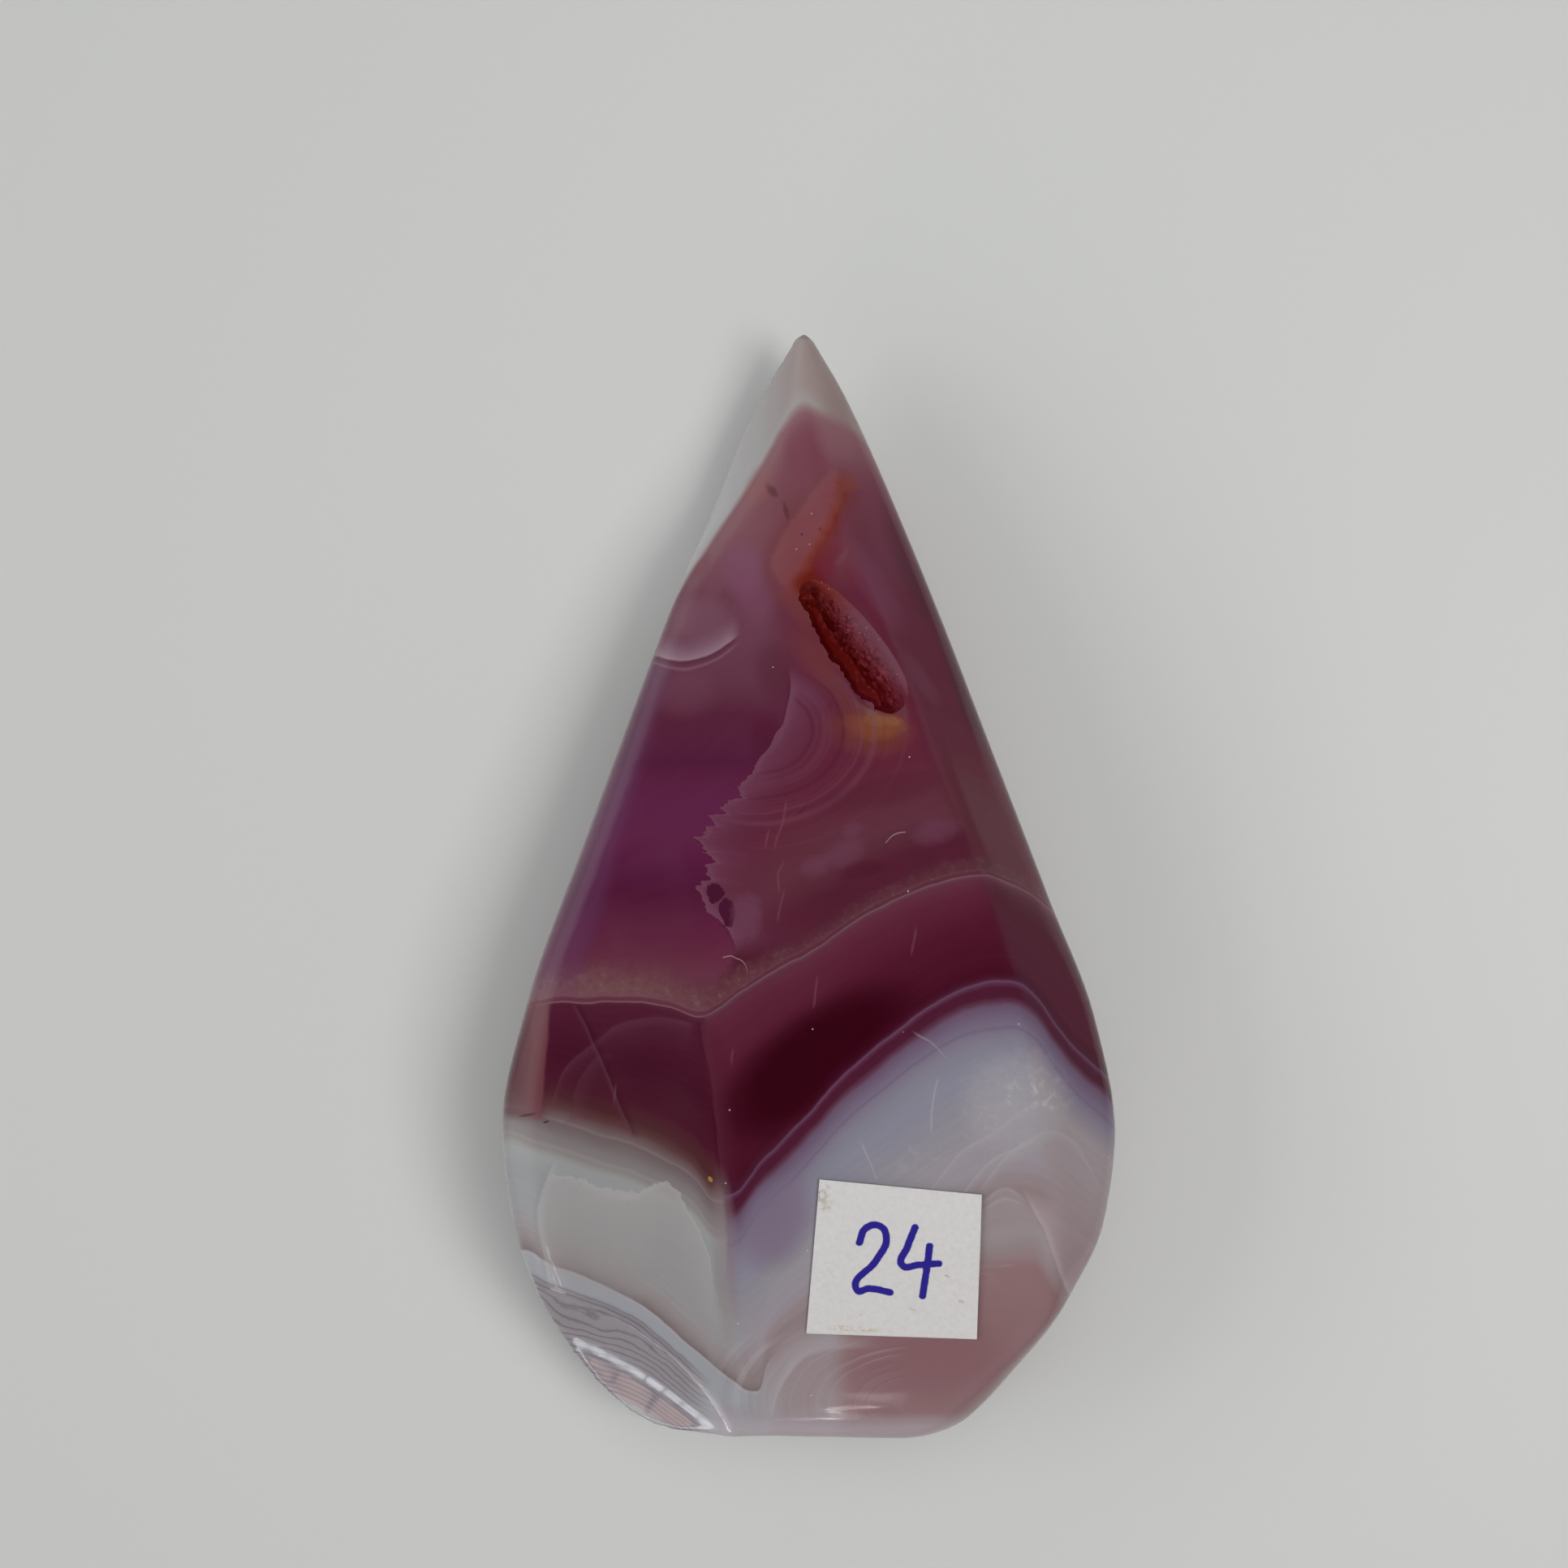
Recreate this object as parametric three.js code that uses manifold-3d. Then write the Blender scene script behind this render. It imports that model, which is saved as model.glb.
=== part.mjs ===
// A flame carving in banded agate: a polished teardrop of stone with a sawn base, a
// pocket of small crystals near the tip and a paper square with a number on its front.
// It lies on its flat back with the tip towards +Y. Millimetres, +Z up. The origin is on
// the table, under the middle of the stone.

import * as THREE from 'three';
import { mergeVertices } from 'three/addons/utils/BufferGeometryUtils.js';
import Module from 'manifold-3d';

const wasm = await Module();
wasm.setup();

// Driving dimensions

const LENGTH = 93.7; // sawn base to tip
const BASE_ROUND = 1.6; // polished-over edge of the base
const TIP_ROUND = 1.0; // radius of the blunt tip
const RING_STEP = 1.45; // distance between the rings that the stone is built from
const ARC_STEPS = 4; // pieces in each rounded edge
const LONGEST_REACH = 0.45; // of a facet's width, for the rounded edge on each side of it

// How far round the quarter turn each extra ring stands, at the base's edge and at the tip.
const BASE_TURNS = [0, 0.3, 0.6, 0.85];
const TIP_TURNS = [0.35, 0.65, 0.85];
// The points in a section, x and z, towards which those rings shrink.
const BASE_MIDDLE = new THREE.Vector2(0, 8);
const TIP_MIDDLE = new THREE.Vector2(-0.25, 9.6);

// The ridge lines run from the base to the tip. Each row is the height above the base,
// then x and z. They are listed in the order in which a section passes them.

const TIP_START = LENGTH - TIP_ROUND;

const leftEdge = [
  [0, -13.4, 12.2],
  [1.5, -16.2, 12.8],
  [4.5, -19.2, 14.0],
  [8, -21.2, 15.0],
  [12.5, -22.8, 16.2],
  [19, -24.8, 17.8],
  [27, -25.6, 18.8],
  [36.5, -23.6, 18.6],
  [50.5, -18.7, 17.0],
  [72.5, -10.7, 13.0],
  [79.5, -8.1, 7.6],
  [88, -4.4, 7.6],
  [TIP_START, -1.4, 9.0],
];

const leftCrest = [
  [0, -10.2, 14.0],
  [5, -16.2, 16.0],
  [12.5, -20.3, 18.3],
  [19.5, -21.7, 20.2],
  [28.5, -21.4, 21.0],
  [37, -20.7, 20.9],
  [48.5, -17.2, 20.0],
  [57.5, -14.3, 18.5],
  [66, -11.8, 16.5],
  [72.5, -9.5, 14.8],
  [78, -6.1, 14.0],
  [82, -3.7, 13.2],
  [87, -1.5, 12.0],
  [TIP_START, -0.9, 10.4],
];

const flute = [
  [0, -3.6, 13.4],
  [7.5, -5.4, 15.4],
  [12.5, -6.4, 16.7],
  [21.5, -7.2, 17.9],
  [36, -8.4, 18.2],
  [42.5, -8.2, 18.2],
  [49.5, -7.0, 18.1],
  [55.5, -4.9, 18.0],
  [60.5, -3.5, 17.7],
  [72.5, -1.8, 15.9],
  [82.5, -1.2, 13.5],
  [TIP_START, -0.35, 10.7],
];

const spine = [
  [0, 9.8, 14.4],
  [5.5, 15.0, 16.8],
  [12.5, 20.2, 19.2],
  [18, 20.0, 21.3],
  [26.5, 18.8, 23.3],
  [36, 17.2, 23.8],
  [47.5, 13.9, 23.1],
  [59.5, 9.2, 21.0],
  [72.5, 4.4, 17.6],
  [82.5, 1.2, 14.3],
  [TIP_START, 0.2, 10.6],
];

const rightEdge = [
  [0, 12.2, 12.2],
  [2.2, 14.6, 13.2],
  [6, 17.6, 14.6],
  [9.5, 20.1, 15.9],
  [12.5, 21.9, 17.0],
  [19, 24.7, 18.6],
  [26.5, 25.5, 19.3],
  [36, 23.8, 19.2],
  [45.5, 20.2, 18.3],
  [57.5, 15.7, 16.8],
  [70, 11.0, 15.0],
  [82.5, 6.0, 12.0],
  [88.5, 3.3, 10.6],
  [TIP_START, 0.9, 9.6],
];

const rightBelly = [
  [0, 11.4, 5.8],
  [6, 16.0, 6.8],
  [12.5, 20.0, 7.8],
  [26.5, 23.4, 8.4],
  [45.5, 18.4, 8.0],
  [57.5, 14.2, 7.4],
  [70, 10.0, 7.2],
  [82.5, 5.6, 7.4],
  [88.5, 3.0, 8.0],
  [TIP_START, 0.8, 9.0],
];

const leftBelly = [
  [0, -11.8, 5.6],
  [5, -17.2, 6.4],
  [12.5, -20.6, 7.0],
  [26.5, -23.4, 7.6],
  [36.5, -21.4, 7.4],
  [50.5, -16.8, 7.0],
  [72.5, -9.4, 6.0],
  [79.5, -7.2, 5.4],
  [88, -3.9, 6.8],
  [TIP_START, -1.3, 8.6],
];

// The back is ground flat where the stone rests, and rises towards the tip and the base.

const backHeight = [
  [0, 1.8],
  [4, 0],
  [54, 0],
  [68, 1.2],
  [80, 3.6],
  [88, 6.2],
  [TIP_START, 8.3],
];

const backRight = [
  [0, 8.8],
  [4, 11.6],
  [20, 14.0],
  [35, 13.4],
  [54, 9.6],
  [72, 5.4],
  [82, 3.0],
  [TIP_START, 0.3],
];

const backLeft = [
  [0, -8.8],
  [4, -11.6],
  [20, -13.6],
  [35, -13.0],
  [54, -9.2],
  [72, -4.8],
  [82, -2.8],
  [TIP_START, -0.8],
];

// How far each rounded edge reaches along the facets beside it. The flute is a crease
// near the base and opens to a soft hollow between the two heights given.

const REACH = {
  leftEdge: 2.4,
  leftCrest: 1.6,
  flute: { crease: 1.8, hollow: 6.0, from: 40, to: 62 },
  spine: 0.9,
  rightEdge: 1.6,
  rightBelly: 6.5,
  backEdge: 3.0,
  leftBelly: 6.5,
};

// The scoop is a long hollow, ground by a wheel into the lower left corner of the front.

const SCOOP = {
  centre: new THREE.Vector3(-17.6, -50.6, 24.7),
  halfLength: 26.0,
  radius: 15.5,
  heading: THREE.MathUtils.degToRad(-36),
  segments: [72, 56],
};

// The pocket near the tip: x and height above the base of the points around its mouth.

const POCKET_MOUTH = [
  [-0.7, 70.6],
  [0.3, 68.4],
  [1.0, 66.6],
  [2.3, 64.0],
  [3.4, 62.6],
  [4.8, 61.0],
  [6.5, 60.5],
  [7.7, 61.1],
  [7.7, 62.6],
  [6.4, 64.7],
  [5.0, 66.4],
  [3.5, 68.5],
  [2.2, 70.6],
  [0.9, 72.0],
  [-0.2, 72.1],
];
const POCKET_SPINE = [new THREE.Vector2(0.5, 71.0), new THREE.Vector2(6.2, 62.2)];
const POCKET_POINTS = 40;
const POCKET_CLOSED = 0.94; // the furthest that any wall closes in towards the spine
const CUTTER_TOP = 1.25; // the cutter's end over the stone's surface
const CUTTER_POINT = 0.02; // how far its other end stands below the deepest ring
// Depth below the stone's surface, and how far the wall has closed in towards the spine.
const POCKET_WALL = [
  [-1.2, 0],
  [0, 0],
  [0.9, 0.06],
  [1.8, 0.2],
  [2.5, 0.42],
  [3.0, 0.7],
  [3.2, 0.9],
];

// The crust inside the pocket, between the wall and the open middle.

const CRUST_GAP = 0.2;
const CRUST_THICKNESS = 0.3;
const CRUST_WALL = [
  [0.3, 0.02],
  [0.8, 0.05],
  [1.3, 0.11],
  [1.8, 0.2],
  [2.2, 0.31],
  [2.55, 0.44],
  [2.85, 0.6],
  [3.08, 0.78],
];
const CRUST_POINT = 0.05; // how far the crust's underside comes to a point
const CRYSTAL_HEIGHT = 0.42;
const CRYSTAL_ROOM = 0.4; // of the way across to the spine, at most
const CRYSTAL_SHORTEST = 0.45; // of the tallest crystal
const CRYSTAL_LEAN = 0.35; // upward lean in the top row, with one more over all the rows

// The label's corners: x and height above the base.

const LABEL_CORNERS = {
  topLeft: [0.95, 22.8],
  topRight: [14.0, 21.9],
  bottomRight: [13.9, 9.4],
  bottomLeft: [-0.1, 9.6],
};
const LABEL_GAP = 0.12;
const LABEL_THICKNESS = 0.2;
const LABEL_CELLS = 9;

// Colours

const stone = new THREE.MeshStandardMaterial({ color: 0x6f4252, roughness: 0.12, metalness: 0 });
const druse = new THREE.MeshStandardMaterial({ color: 0x6e1c12, roughness: 0.55, metalness: 0 });
const paper = new THREE.MeshStandardMaterial({ color: 0xd8d4d3, roughness: 0.9, metalness: 0 });

// A smooth curve through the rows of a table, with no overshoot between them.

function slopes(rows, column) {
  const steps = rows.slice(1).map((row, i) => (row[column] - rows[i][column]) / (row[0] - rows[i][0]));
  return rows.map((row, i) => {
    if (i === 0) return steps[0];
    if (i === rows.length - 1) return steps[i - 1];
    if (steps[i - 1] * steps[i] <= 0) return 0;
    return (2 * steps[i - 1] * steps[i]) / (steps[i - 1] + steps[i]);
  });
}

function along(rows, t, column = 1) {
  const last = rows.length - 2;
  const found = rows.findIndex((row) => row[0] > t) - 1;
  const i = found < 0 ? (t < rows[0][0] ? 0 : last) : Math.min(found, last);
  const gap = rows[i + 1][0] - rows[i][0];
  const u = THREE.MathUtils.clamp((t - rows[i][0]) / gap, 0, 1);
  const m = slopes(rows, column);
  const start = (1 + 2 * u) * (1 - u) ** 2 * rows[i][column] + u * (1 - u) ** 2 * gap * m[i];
  const end = u * u * (3 - 2 * u) * rows[i + 1][column] - u * u * (1 - u) * gap * m[i + 1];
  return start + end;
}

// One section of the stone

function corner(rows, t, reach) {
  return { x: along(rows, t, 1), z: along(rows, t, 2), reach };
}

function section(t) {
  const back = along(backHeight, t);
  const { crease, hollow, from, to } = REACH.flute;
  const fluteReach = THREE.MathUtils.lerp(crease, hollow, THREE.MathUtils.smoothstep(t, from, to));
  return [
    corner(leftEdge, t, REACH.leftEdge),
    corner(leftCrest, t, REACH.leftCrest),
    corner(flute, t, fluteReach),
    corner(spine, t, REACH.spine),
    corner(rightEdge, t, REACH.rightEdge),
    corner(rightBelly, t, REACH.rightBelly),
    { x: along(backRight, t), z: back, reach: REACH.backEdge },
    { x: along(backLeft, t), z: back, reach: REACH.backEdge },
    corner(leftBelly, t, REACH.leftBelly),
  ];
}

function roundedSection(t) {
  const corners = section(t);
  const points = [];
  corners.forEach((here, i) => {
    const at = new THREE.Vector2(here.x, here.z);
    const before = corners[(i + corners.length - 1) % corners.length];
    const after = corners[(i + 1) % corners.length];
    const start = towards(at, before, here.reach);
    const end = towards(at, after, here.reach);
    const arc = new THREE.QuadraticBezierCurve(start, at, end);
    points.push(...arc.getPoints(ARC_STEPS));
  });
  return points;
}

function towards(at, other, reach) {
  const line = new THREE.Vector2(other.x, other.z).sub(at);
  const share = Math.min(reach / line.length(), LONGEST_REACH);
  return at.clone().addScaledVector(line, share);
}

// Rings from base to tip. The base's edge and the tip are rounded by shrinking the rings.

function shrink(points, middle, factor) {
  return points.map((p) => p.clone().sub(middle).multiplyScalar(factor).add(middle));
}

function stoneRings() {
  const rings = [];
  BASE_TURNS.forEach((turn) => {
    const angle = (turn * Math.PI) / 2;
    const t = BASE_ROUND * (1 - Math.cos(angle));
    const inset = BASE_ROUND * (1 - Math.sin(angle));
    const halfWidth = along(rightEdge, t);
    rings.push({ t, points: shrink(roundedSection(t), BASE_MIDDLE, 1 - inset / halfWidth) });
  });
  const count = Math.round((TIP_START - BASE_ROUND) / RING_STEP);
  for (let i = 0; i <= count; i++) {
    const t = THREE.MathUtils.lerp(BASE_ROUND, TIP_START, i / count);
    rings.push({ t, points: roundedSection(t) });
  }
  TIP_TURNS.forEach((turn) => {
    const angle = (turn * Math.PI) / 2;
    const t = TIP_START + TIP_ROUND * Math.sin(angle);
    rings.push({ t, points: shrink(roundedSection(TIP_START), TIP_MIDDLE, Math.cos(angle)) });
  });
  return rings;
}

function yOf(t) {
  return t - LENGTH / 2;
}

// A closed skin over a row of rings that have the same number of points, with a middle
// point closing each end. Where peak gives a point for a cell, the cell's four sides
// rise to it.

function skin(rings, firstPole, lastPole, peak = () => null) {
  const size = rings[0].length;
  const points = [...rings.flat(), firstPole, lastPole];
  const first = points.length - 2;
  const last = points.length - 1;
  const index = [];
  for (let i = 0; i < size; i++) {
    const next = (i + 1) % size;
    index.push(first, next, i);
    for (let k = 0; k < rings.length - 1; k++) {
      const [a, b] = [k * size + i, k * size + next];
      const [c, d] = [b + size, a + size];
      const top = peak(k, i, [a, b, c, d].map((n) => points[n]));
      if (top) {
        const middle = points.push(top) - 1;
        index.push(a, b, middle, b, c, middle, c, d, middle, d, a, middle);
      } else {
        index.push(a, b, d, b, c, d);
      }
    }
    const end = (rings.length - 1) * size;
    index.push(last, end + i, end + next);
  }
  const geometry = new THREE.BufferGeometry().setFromPoints(points);
  geometry.setIndex(index);
  return geometry;
}

function solid(geometry) {
  const bare = geometry.clone();
  bare.deleteAttribute('normal');
  bare.deleteAttribute('uv');
  const welded = mergeVertices(bare, 1e-5);
  const vertProperties = new Float32Array(welded.attributes.position.array);
  const triVerts = new Uint32Array(welded.index.array);
  return new wasm.Manifold(new wasm.Mesh({ numProp: 3, vertProperties, triVerts }));
}

function geometryOf(body) {
  const mesh = body.getMesh();
  const geometry = new THREE.BufferGeometry();
  geometry.setAttribute('position', new THREE.BufferAttribute(mesh.vertProperties, 3));
  geometry.setIndex(new THREE.BufferAttribute(mesh.triVerts, 1));
  geometry.computeVertexNormals();
  return geometry;
}

function part(name, geometry, material) {
  const mesh = new THREE.Mesh(geometry, material);
  mesh.name = name;
  return mesh;
}

// Height of the stone's front at a place on it

function frontHeight(x, t) {
  const points = roundedSection(t);
  let highest = 0;
  points.forEach((p, i) => {
    const q = points[(i + 1) % points.length];
    const inside = Math.min(p.x, q.x) <= x && x <= Math.max(p.x, q.x);
    if (!inside || p.x === q.x) return;
    highest = Math.max(highest, THREE.MathUtils.mapLinear(x, p.x, q.x, p.y, q.y));
  });
  return highest;
}

// The stone before anything is cut into it

function wholeStone() {
  const rings = stoneRings().map(({ t, points }) =>
    points.map((p) => new THREE.Vector3(p.x, yOf(t), p.y)),
  );
  const base = new THREE.Vector3(BASE_MIDDLE.x, yOf(0), BASE_MIDDLE.y);
  const tip = new THREE.Vector3(TIP_MIDDLE.x, yOf(LENGTH), TIP_MIDDLE.y);
  return solid(skin(rings, base, tip));
}

function scoopCutter() {
  const geometry = new THREE.SphereGeometry(1, ...SCOOP.segments);
  geometry.scale(SCOOP.halfLength, SCOOP.radius, SCOOP.radius);
  geometry.rotateZ(SCOOP.heading);
  geometry.translate(SCOOP.centre.x, SCOOP.centre.y, SCOOP.centre.z);
  return solid(geometry);
}

// The pocket's wall goes down from its mouth and closes in towards the pocket's spine. An
// inset moves it inwards, which gives the outside and the inside of the crust.

function pocketMouth() {
  const points = POCKET_MOUTH.map(([x, t]) => new THREE.Vector3(x, t, 0));
  const spaced = new THREE.CatmullRomCurve3(points, true).getSpacedPoints(POCKET_POINTS);
  return spaced.slice(0, POCKET_POINTS).map((p) => new THREE.Vector2(p.x, p.y));
}

function nearestOnSpine(p) {
  const [start, end] = POCKET_SPINE;
  const line = end.clone().sub(start);
  const share = p.clone().sub(start).dot(line) / line.lengthSq();
  return start.clone().addScaledVector(line, THREE.MathUtils.clamp(share, 0, 1));
}

function pocketRings(wall, inset) {
  return wall.map(([depth, closing]) =>
    pocketMouth().map((rim) => {
      const inner = nearestOnSpine(rim);
      const share = closing + (inset / rim.distanceTo(inner)) * (1 - closing);
      const p = rim.lerp(inner, Math.min(share, POCKET_CLOSED));
      const sunk = depth - inset * Math.sqrt(closing);
      return new THREE.Vector3(p.x, yOf(p.y), frontHeight(p.x, p.y) - sunk);
    }),
  );
}

function pocketPole(depth) {
  const middle = POCKET_SPINE[0].clone().lerp(POCKET_SPINE[1], 0.5);
  return new THREE.Vector3(middle.x, yOf(middle.y), frontHeight(middle.x, middle.y) - depth);
}

function pocketCutter() {
  const rings = pocketRings(POCKET_WALL, 0);
  const deepest = POCKET_WALL[POCKET_WALL.length - 1][0];
  const bottom = pocketPole(deepest + CUTTER_POINT);
  return solid(skin(rings.reverse(), bottom, pocketPole(-CUTTER_TOP)));
}

// A number from 0 to 1 that differs from cell to cell and is the same at every build.

function scatter(i, k) {
  return Math.abs(Math.sin(12.9 * i + 78.2 * k));
}

// The crust is one closed skin: up the outside, over the rim and down the inside. On the
// inside every cell of the skin is a small flat-faced crystal.

function crust() {
  const outside = pocketRings(CRUST_WALL, CRUST_GAP).reverse();
  const inside = pocketRings(CRUST_WALL, CRUST_GAP + CRUST_THICKNESS);
  const deepest = CRUST_WALL[CRUST_WALL.length - 1][0];
  const under = pocketPole(deepest + CRUST_POINT - CRUST_GAP);
  const floor = pocketPole(deepest - CRUST_GAP - CRUST_THICKNESS);
  const crystal = (k, i, cell) => {
    const row = k - outside.length;
    if (row < 0 || row > inside.length - 3) return null;
    const middle = new THREE.Vector3();
    cell.forEach((p) => middle.addScaledVector(p, 0.25));
    const opening = nearestOnSpine(new THREE.Vector2(middle.x, middle.y + LENGTH / 2));
    const inwards = new THREE.Vector3(opening.x - middle.x, yOf(opening.y) - middle.y, 0);
    const room = inwards.length();
    inwards.normalize();
    inwards.z = CRYSTAL_LEAN + row / inside.length;
    const tallest = Math.min(CRYSTAL_HEIGHT, CRYSTAL_ROOM * room);
    const height = THREE.MathUtils.lerp(CRYSTAL_SHORTEST, 1, scatter(i, k)) * tallest;
    return middle.addScaledVector(inwards.normalize(), height);
  };
  return skin([...outside, ...inside], under, floor, crystal);
}

// The paper lies on the facet between the flute and the spine, and follows its slight
// curve.

function mix(a, b, share) {
  return a.map((value, i) => THREE.MathUtils.lerp(value, b[i], share));
}

function label() {
  const { topLeft, topRight, bottomRight, bottomLeft } = LABEL_CORNERS;
  const at = (u, v, lift) => {
    const [x, t] = mix(mix(bottomLeft, bottomRight, u), mix(topLeft, topRight, u), v);
    return new THREE.Vector3(x, yOf(t), frontHeight(x, t) + lift);
  };
  const rings = [];
  for (let i = 0; i <= LABEL_CELLS; i++) {
    const v = i / LABEL_CELLS;
    const over = [];
    const under = [];
    for (let j = 0; j <= LABEL_CELLS; j++) {
      const u = j / LABEL_CELLS;
      over.push(at(u, v, LABEL_GAP + LABEL_THICKNESS));
      under.unshift(at(u, v, LABEL_GAP));
    }
    rings.push([...over, ...under]);
  }
  return rings;
}

// The two ends of the label's rings are closed by strips between its upper and lower
// edges, not by a middle point.

function stripSkin(rings) {
  const size = rings[0].length;
  const half = size / 2;
  const index = [];
  for (let k = 0; k < rings.length - 1; k++) {
    for (let i = 0; i < size; i++) {
      const next = (i + 1) % size;
      const a = k * size + i;
      const b = k * size + next;
      index.push(a, b, a + size);
      index.push(b, b + size, a + size);
    }
  }
  const end = (rings.length - 1) * size;
  for (let i = 0; i < half - 1; i++) {
    const over = i;
    const under = size - 1 - i;
    index.push(over, under, over + 1);
    index.push(over + 1, under, under - 1);
    index.push(end + over, end + over + 1, end + under);
    index.push(end + over + 1, end + under - 1, end + under);
  }
  const geometry = new THREE.BufferGeometry().setFromPoints(rings.flat());
  geometry.setIndex(index);
  geometry.computeVertexNormals();
  return geometry;
}

// The whole carving

const whole = wholeStone();
const carved = whole.subtract(scoopCutter()).subtract(pocketCutter());

const carving = new THREE.Group();
carving.add(part('agate_flame', geometryOf(carved), stone));
carving.add(part('druse_crust', crust(), druse));
carving.add(part('paper_label', stripSkin(label()), paper));

export default carving;
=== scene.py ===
# %% [markdown]
# A flame carving in banded agate, laid on its flat back and seen from above. It is one
# piece of stone with a hollow of small crystals near its tip, and a square of paper with
# a number lies on its front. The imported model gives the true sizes. This script takes the
# model as a fixed frame and builds what the eye sees around it: polish, bands, crystals
# and paper.

# %% Load the frame
import math

import bpy
import numpy as np
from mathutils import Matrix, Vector, noise
from mathutils.kdtree import KDTree


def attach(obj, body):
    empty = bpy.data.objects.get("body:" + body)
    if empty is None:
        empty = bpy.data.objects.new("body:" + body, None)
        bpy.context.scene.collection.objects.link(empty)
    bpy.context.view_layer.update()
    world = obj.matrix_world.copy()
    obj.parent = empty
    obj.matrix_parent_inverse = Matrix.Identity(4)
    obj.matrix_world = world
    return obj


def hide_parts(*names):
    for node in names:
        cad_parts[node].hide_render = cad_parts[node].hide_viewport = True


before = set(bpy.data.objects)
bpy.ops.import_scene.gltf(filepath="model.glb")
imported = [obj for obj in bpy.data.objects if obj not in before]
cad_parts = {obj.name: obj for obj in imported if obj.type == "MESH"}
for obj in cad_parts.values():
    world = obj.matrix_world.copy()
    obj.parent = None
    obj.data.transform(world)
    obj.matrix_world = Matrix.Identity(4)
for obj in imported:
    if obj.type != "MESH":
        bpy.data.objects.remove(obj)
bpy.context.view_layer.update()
MM = 0.001

# %% [markdown]
# Every operator acts on what is selected, so a small helper selects one piece alone
# before it is worked on. A second one copies the mesh of a frame node as a new piece. The
# frame's meshes are loose triangles, so the copy's doubled corners are merged first.

# %% Small helpers for pieces


def alone(piece):
    """Selects this piece and nothing else."""
    bpy.ops.object.select_all(action="DESELECT")
    piece.select_set(True)
    bpy.context.view_layer.objects.active = piece


def copy_of(node_name, piece_name):
    """A new piece with a merged copy of a frame node's mesh."""
    piece = bpy.data.objects.new(piece_name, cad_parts[node_name].data.copy())
    bpy.context.scene.collection.objects.link(piece)
    piece.data.materials.clear()
    alone(piece)
    bpy.ops.object.mode_set(mode="EDIT")
    bpy.ops.mesh.select_all(action="SELECT")
    bpy.ops.mesh.remove_doubles(threshold=0.002 * MM)
    bpy.ops.object.mode_set(mode="OBJECT")
    return piece


def finish_with(piece, kind, **settings):
    """Adds a modifier to the piece and applies it."""
    alone(piece)
    modifier = piece.modifiers.new(kind.title(), kind)
    for name, value in settings.items():
        setattr(modifier, name, value)
    bpy.ops.object.modifier_apply(modifier=modifier.name)


def front_of(piece, x, y):
    """Height of the top of a piece over the table at x and y."""
    hit, place, _, _ = piece.ray_cast(Vector((x, y, 1.0)), Vector((0, 0, -1)))
    return place.z if hit else 0.0


# %% [markdown]
# The camera looks straight down on the middle of the frame from 220 mm above the table,
# as a hand-held camera does for a stone of this size. The focal length gives the stone
# the share of the picture that it has in the photograph.

# %% Camera
CAMERA_PLACE = Vector((-1.94, 8.16, 220.0)) * MM
FOCAL_LENGTH = 56.46

camera_data = bpy.data.cameras.new("camera")
camera_data.lens = FOCAL_LENGTH
camera_data.sensor_width = 36.0
camera_data.clip_start = 0.01
camera = bpy.data.objects.new("camera", camera_data)
camera.location = CAMERA_PLACE
bpy.context.scene.collection.objects.link(camera)
bpy.context.scene.camera = camera
print("camera height in mm:", round(CAMERA_PLACE.z / MM))

# %% [markdown]
# Colours are written as sRGB hex values, as a colour picker shows them. Cycles works in
# linear light, so one function turns them round.

# %% Colours


def linear(hex_colour, opacity=1.0):
    """An sRGB hex colour as linear red, green, blue and opacity."""
    channels = [int(hex_colour[i : i + 2], 16) / 255 for i in (1, 3, 5)]
    bent = [c / 12.92 if c <= 0.04045 else ((c + 0.055) / 1.055) ** 2.4 for c in channels]
    return (*bent, opacity)


def add_node(tree, kind, inputs=(), stops=(), points=(), **settings):
    """Adds a node, sets it up, fills or links its inputs and returns its first output."""
    node = tree.nodes.new("ShaderNode" + kind)
    for name, value in settings.items():
        setattr(node, name, value)
    pairs = inputs.items() if isinstance(inputs, dict) else enumerate(inputs)
    for key, value in pairs:
        if isinstance(value, bpy.types.NodeSocket):
            tree.links.new(value, node.inputs[key])
        else:
            node.inputs[key].default_value = value
    for i, (at, colour) in enumerate(stops):
        marks = node.color_ramp.elements
        mark = marks[i] if i < 2 else marks.new(at)
        mark.position, mark.color = at, colour
    if points:
        node.mapping.use_clip = False
        curve = node.mapping.curves[0]
        curve.points[0].location, curve.points[1].location = points[0], points[-1]
        for x, y in points[1:-1]:
            curve.points.new(x, y)
        for point in curve.points:
            point.handle_type = "AUTO_CLAMPED"
        node.mapping.update()
    return node.outputs[0] if node.outputs else None


# A smooth step stays between its two ends by itself. Cycles gives each clamp a node of its
# own, and with very many of them a shader this long no longer fits and turns black.
SMOOTH = {"interpolation_type": "SMOOTHSTEP", "clamp": False}


def new_material(name):
    """An empty material, its node tree and its shader."""
    material = bpy.data.materials.new(name)
    material.use_nodes = True
    tree = material.node_tree
    tree.nodes.clear()
    shader = add_node(tree, "BsdfPrincipled").node
    add_node(tree, "OutputMaterial", {"Surface": shader.outputs[0]})
    return material, tree, shader


# %% [markdown]
# The floor is a plain pale sheet with a faint gloss. It is not part of the object.

# %% Floor
FLOOR_SIZE = 1.6
FLOOR_COLOUR = "#cbcccb"

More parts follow.
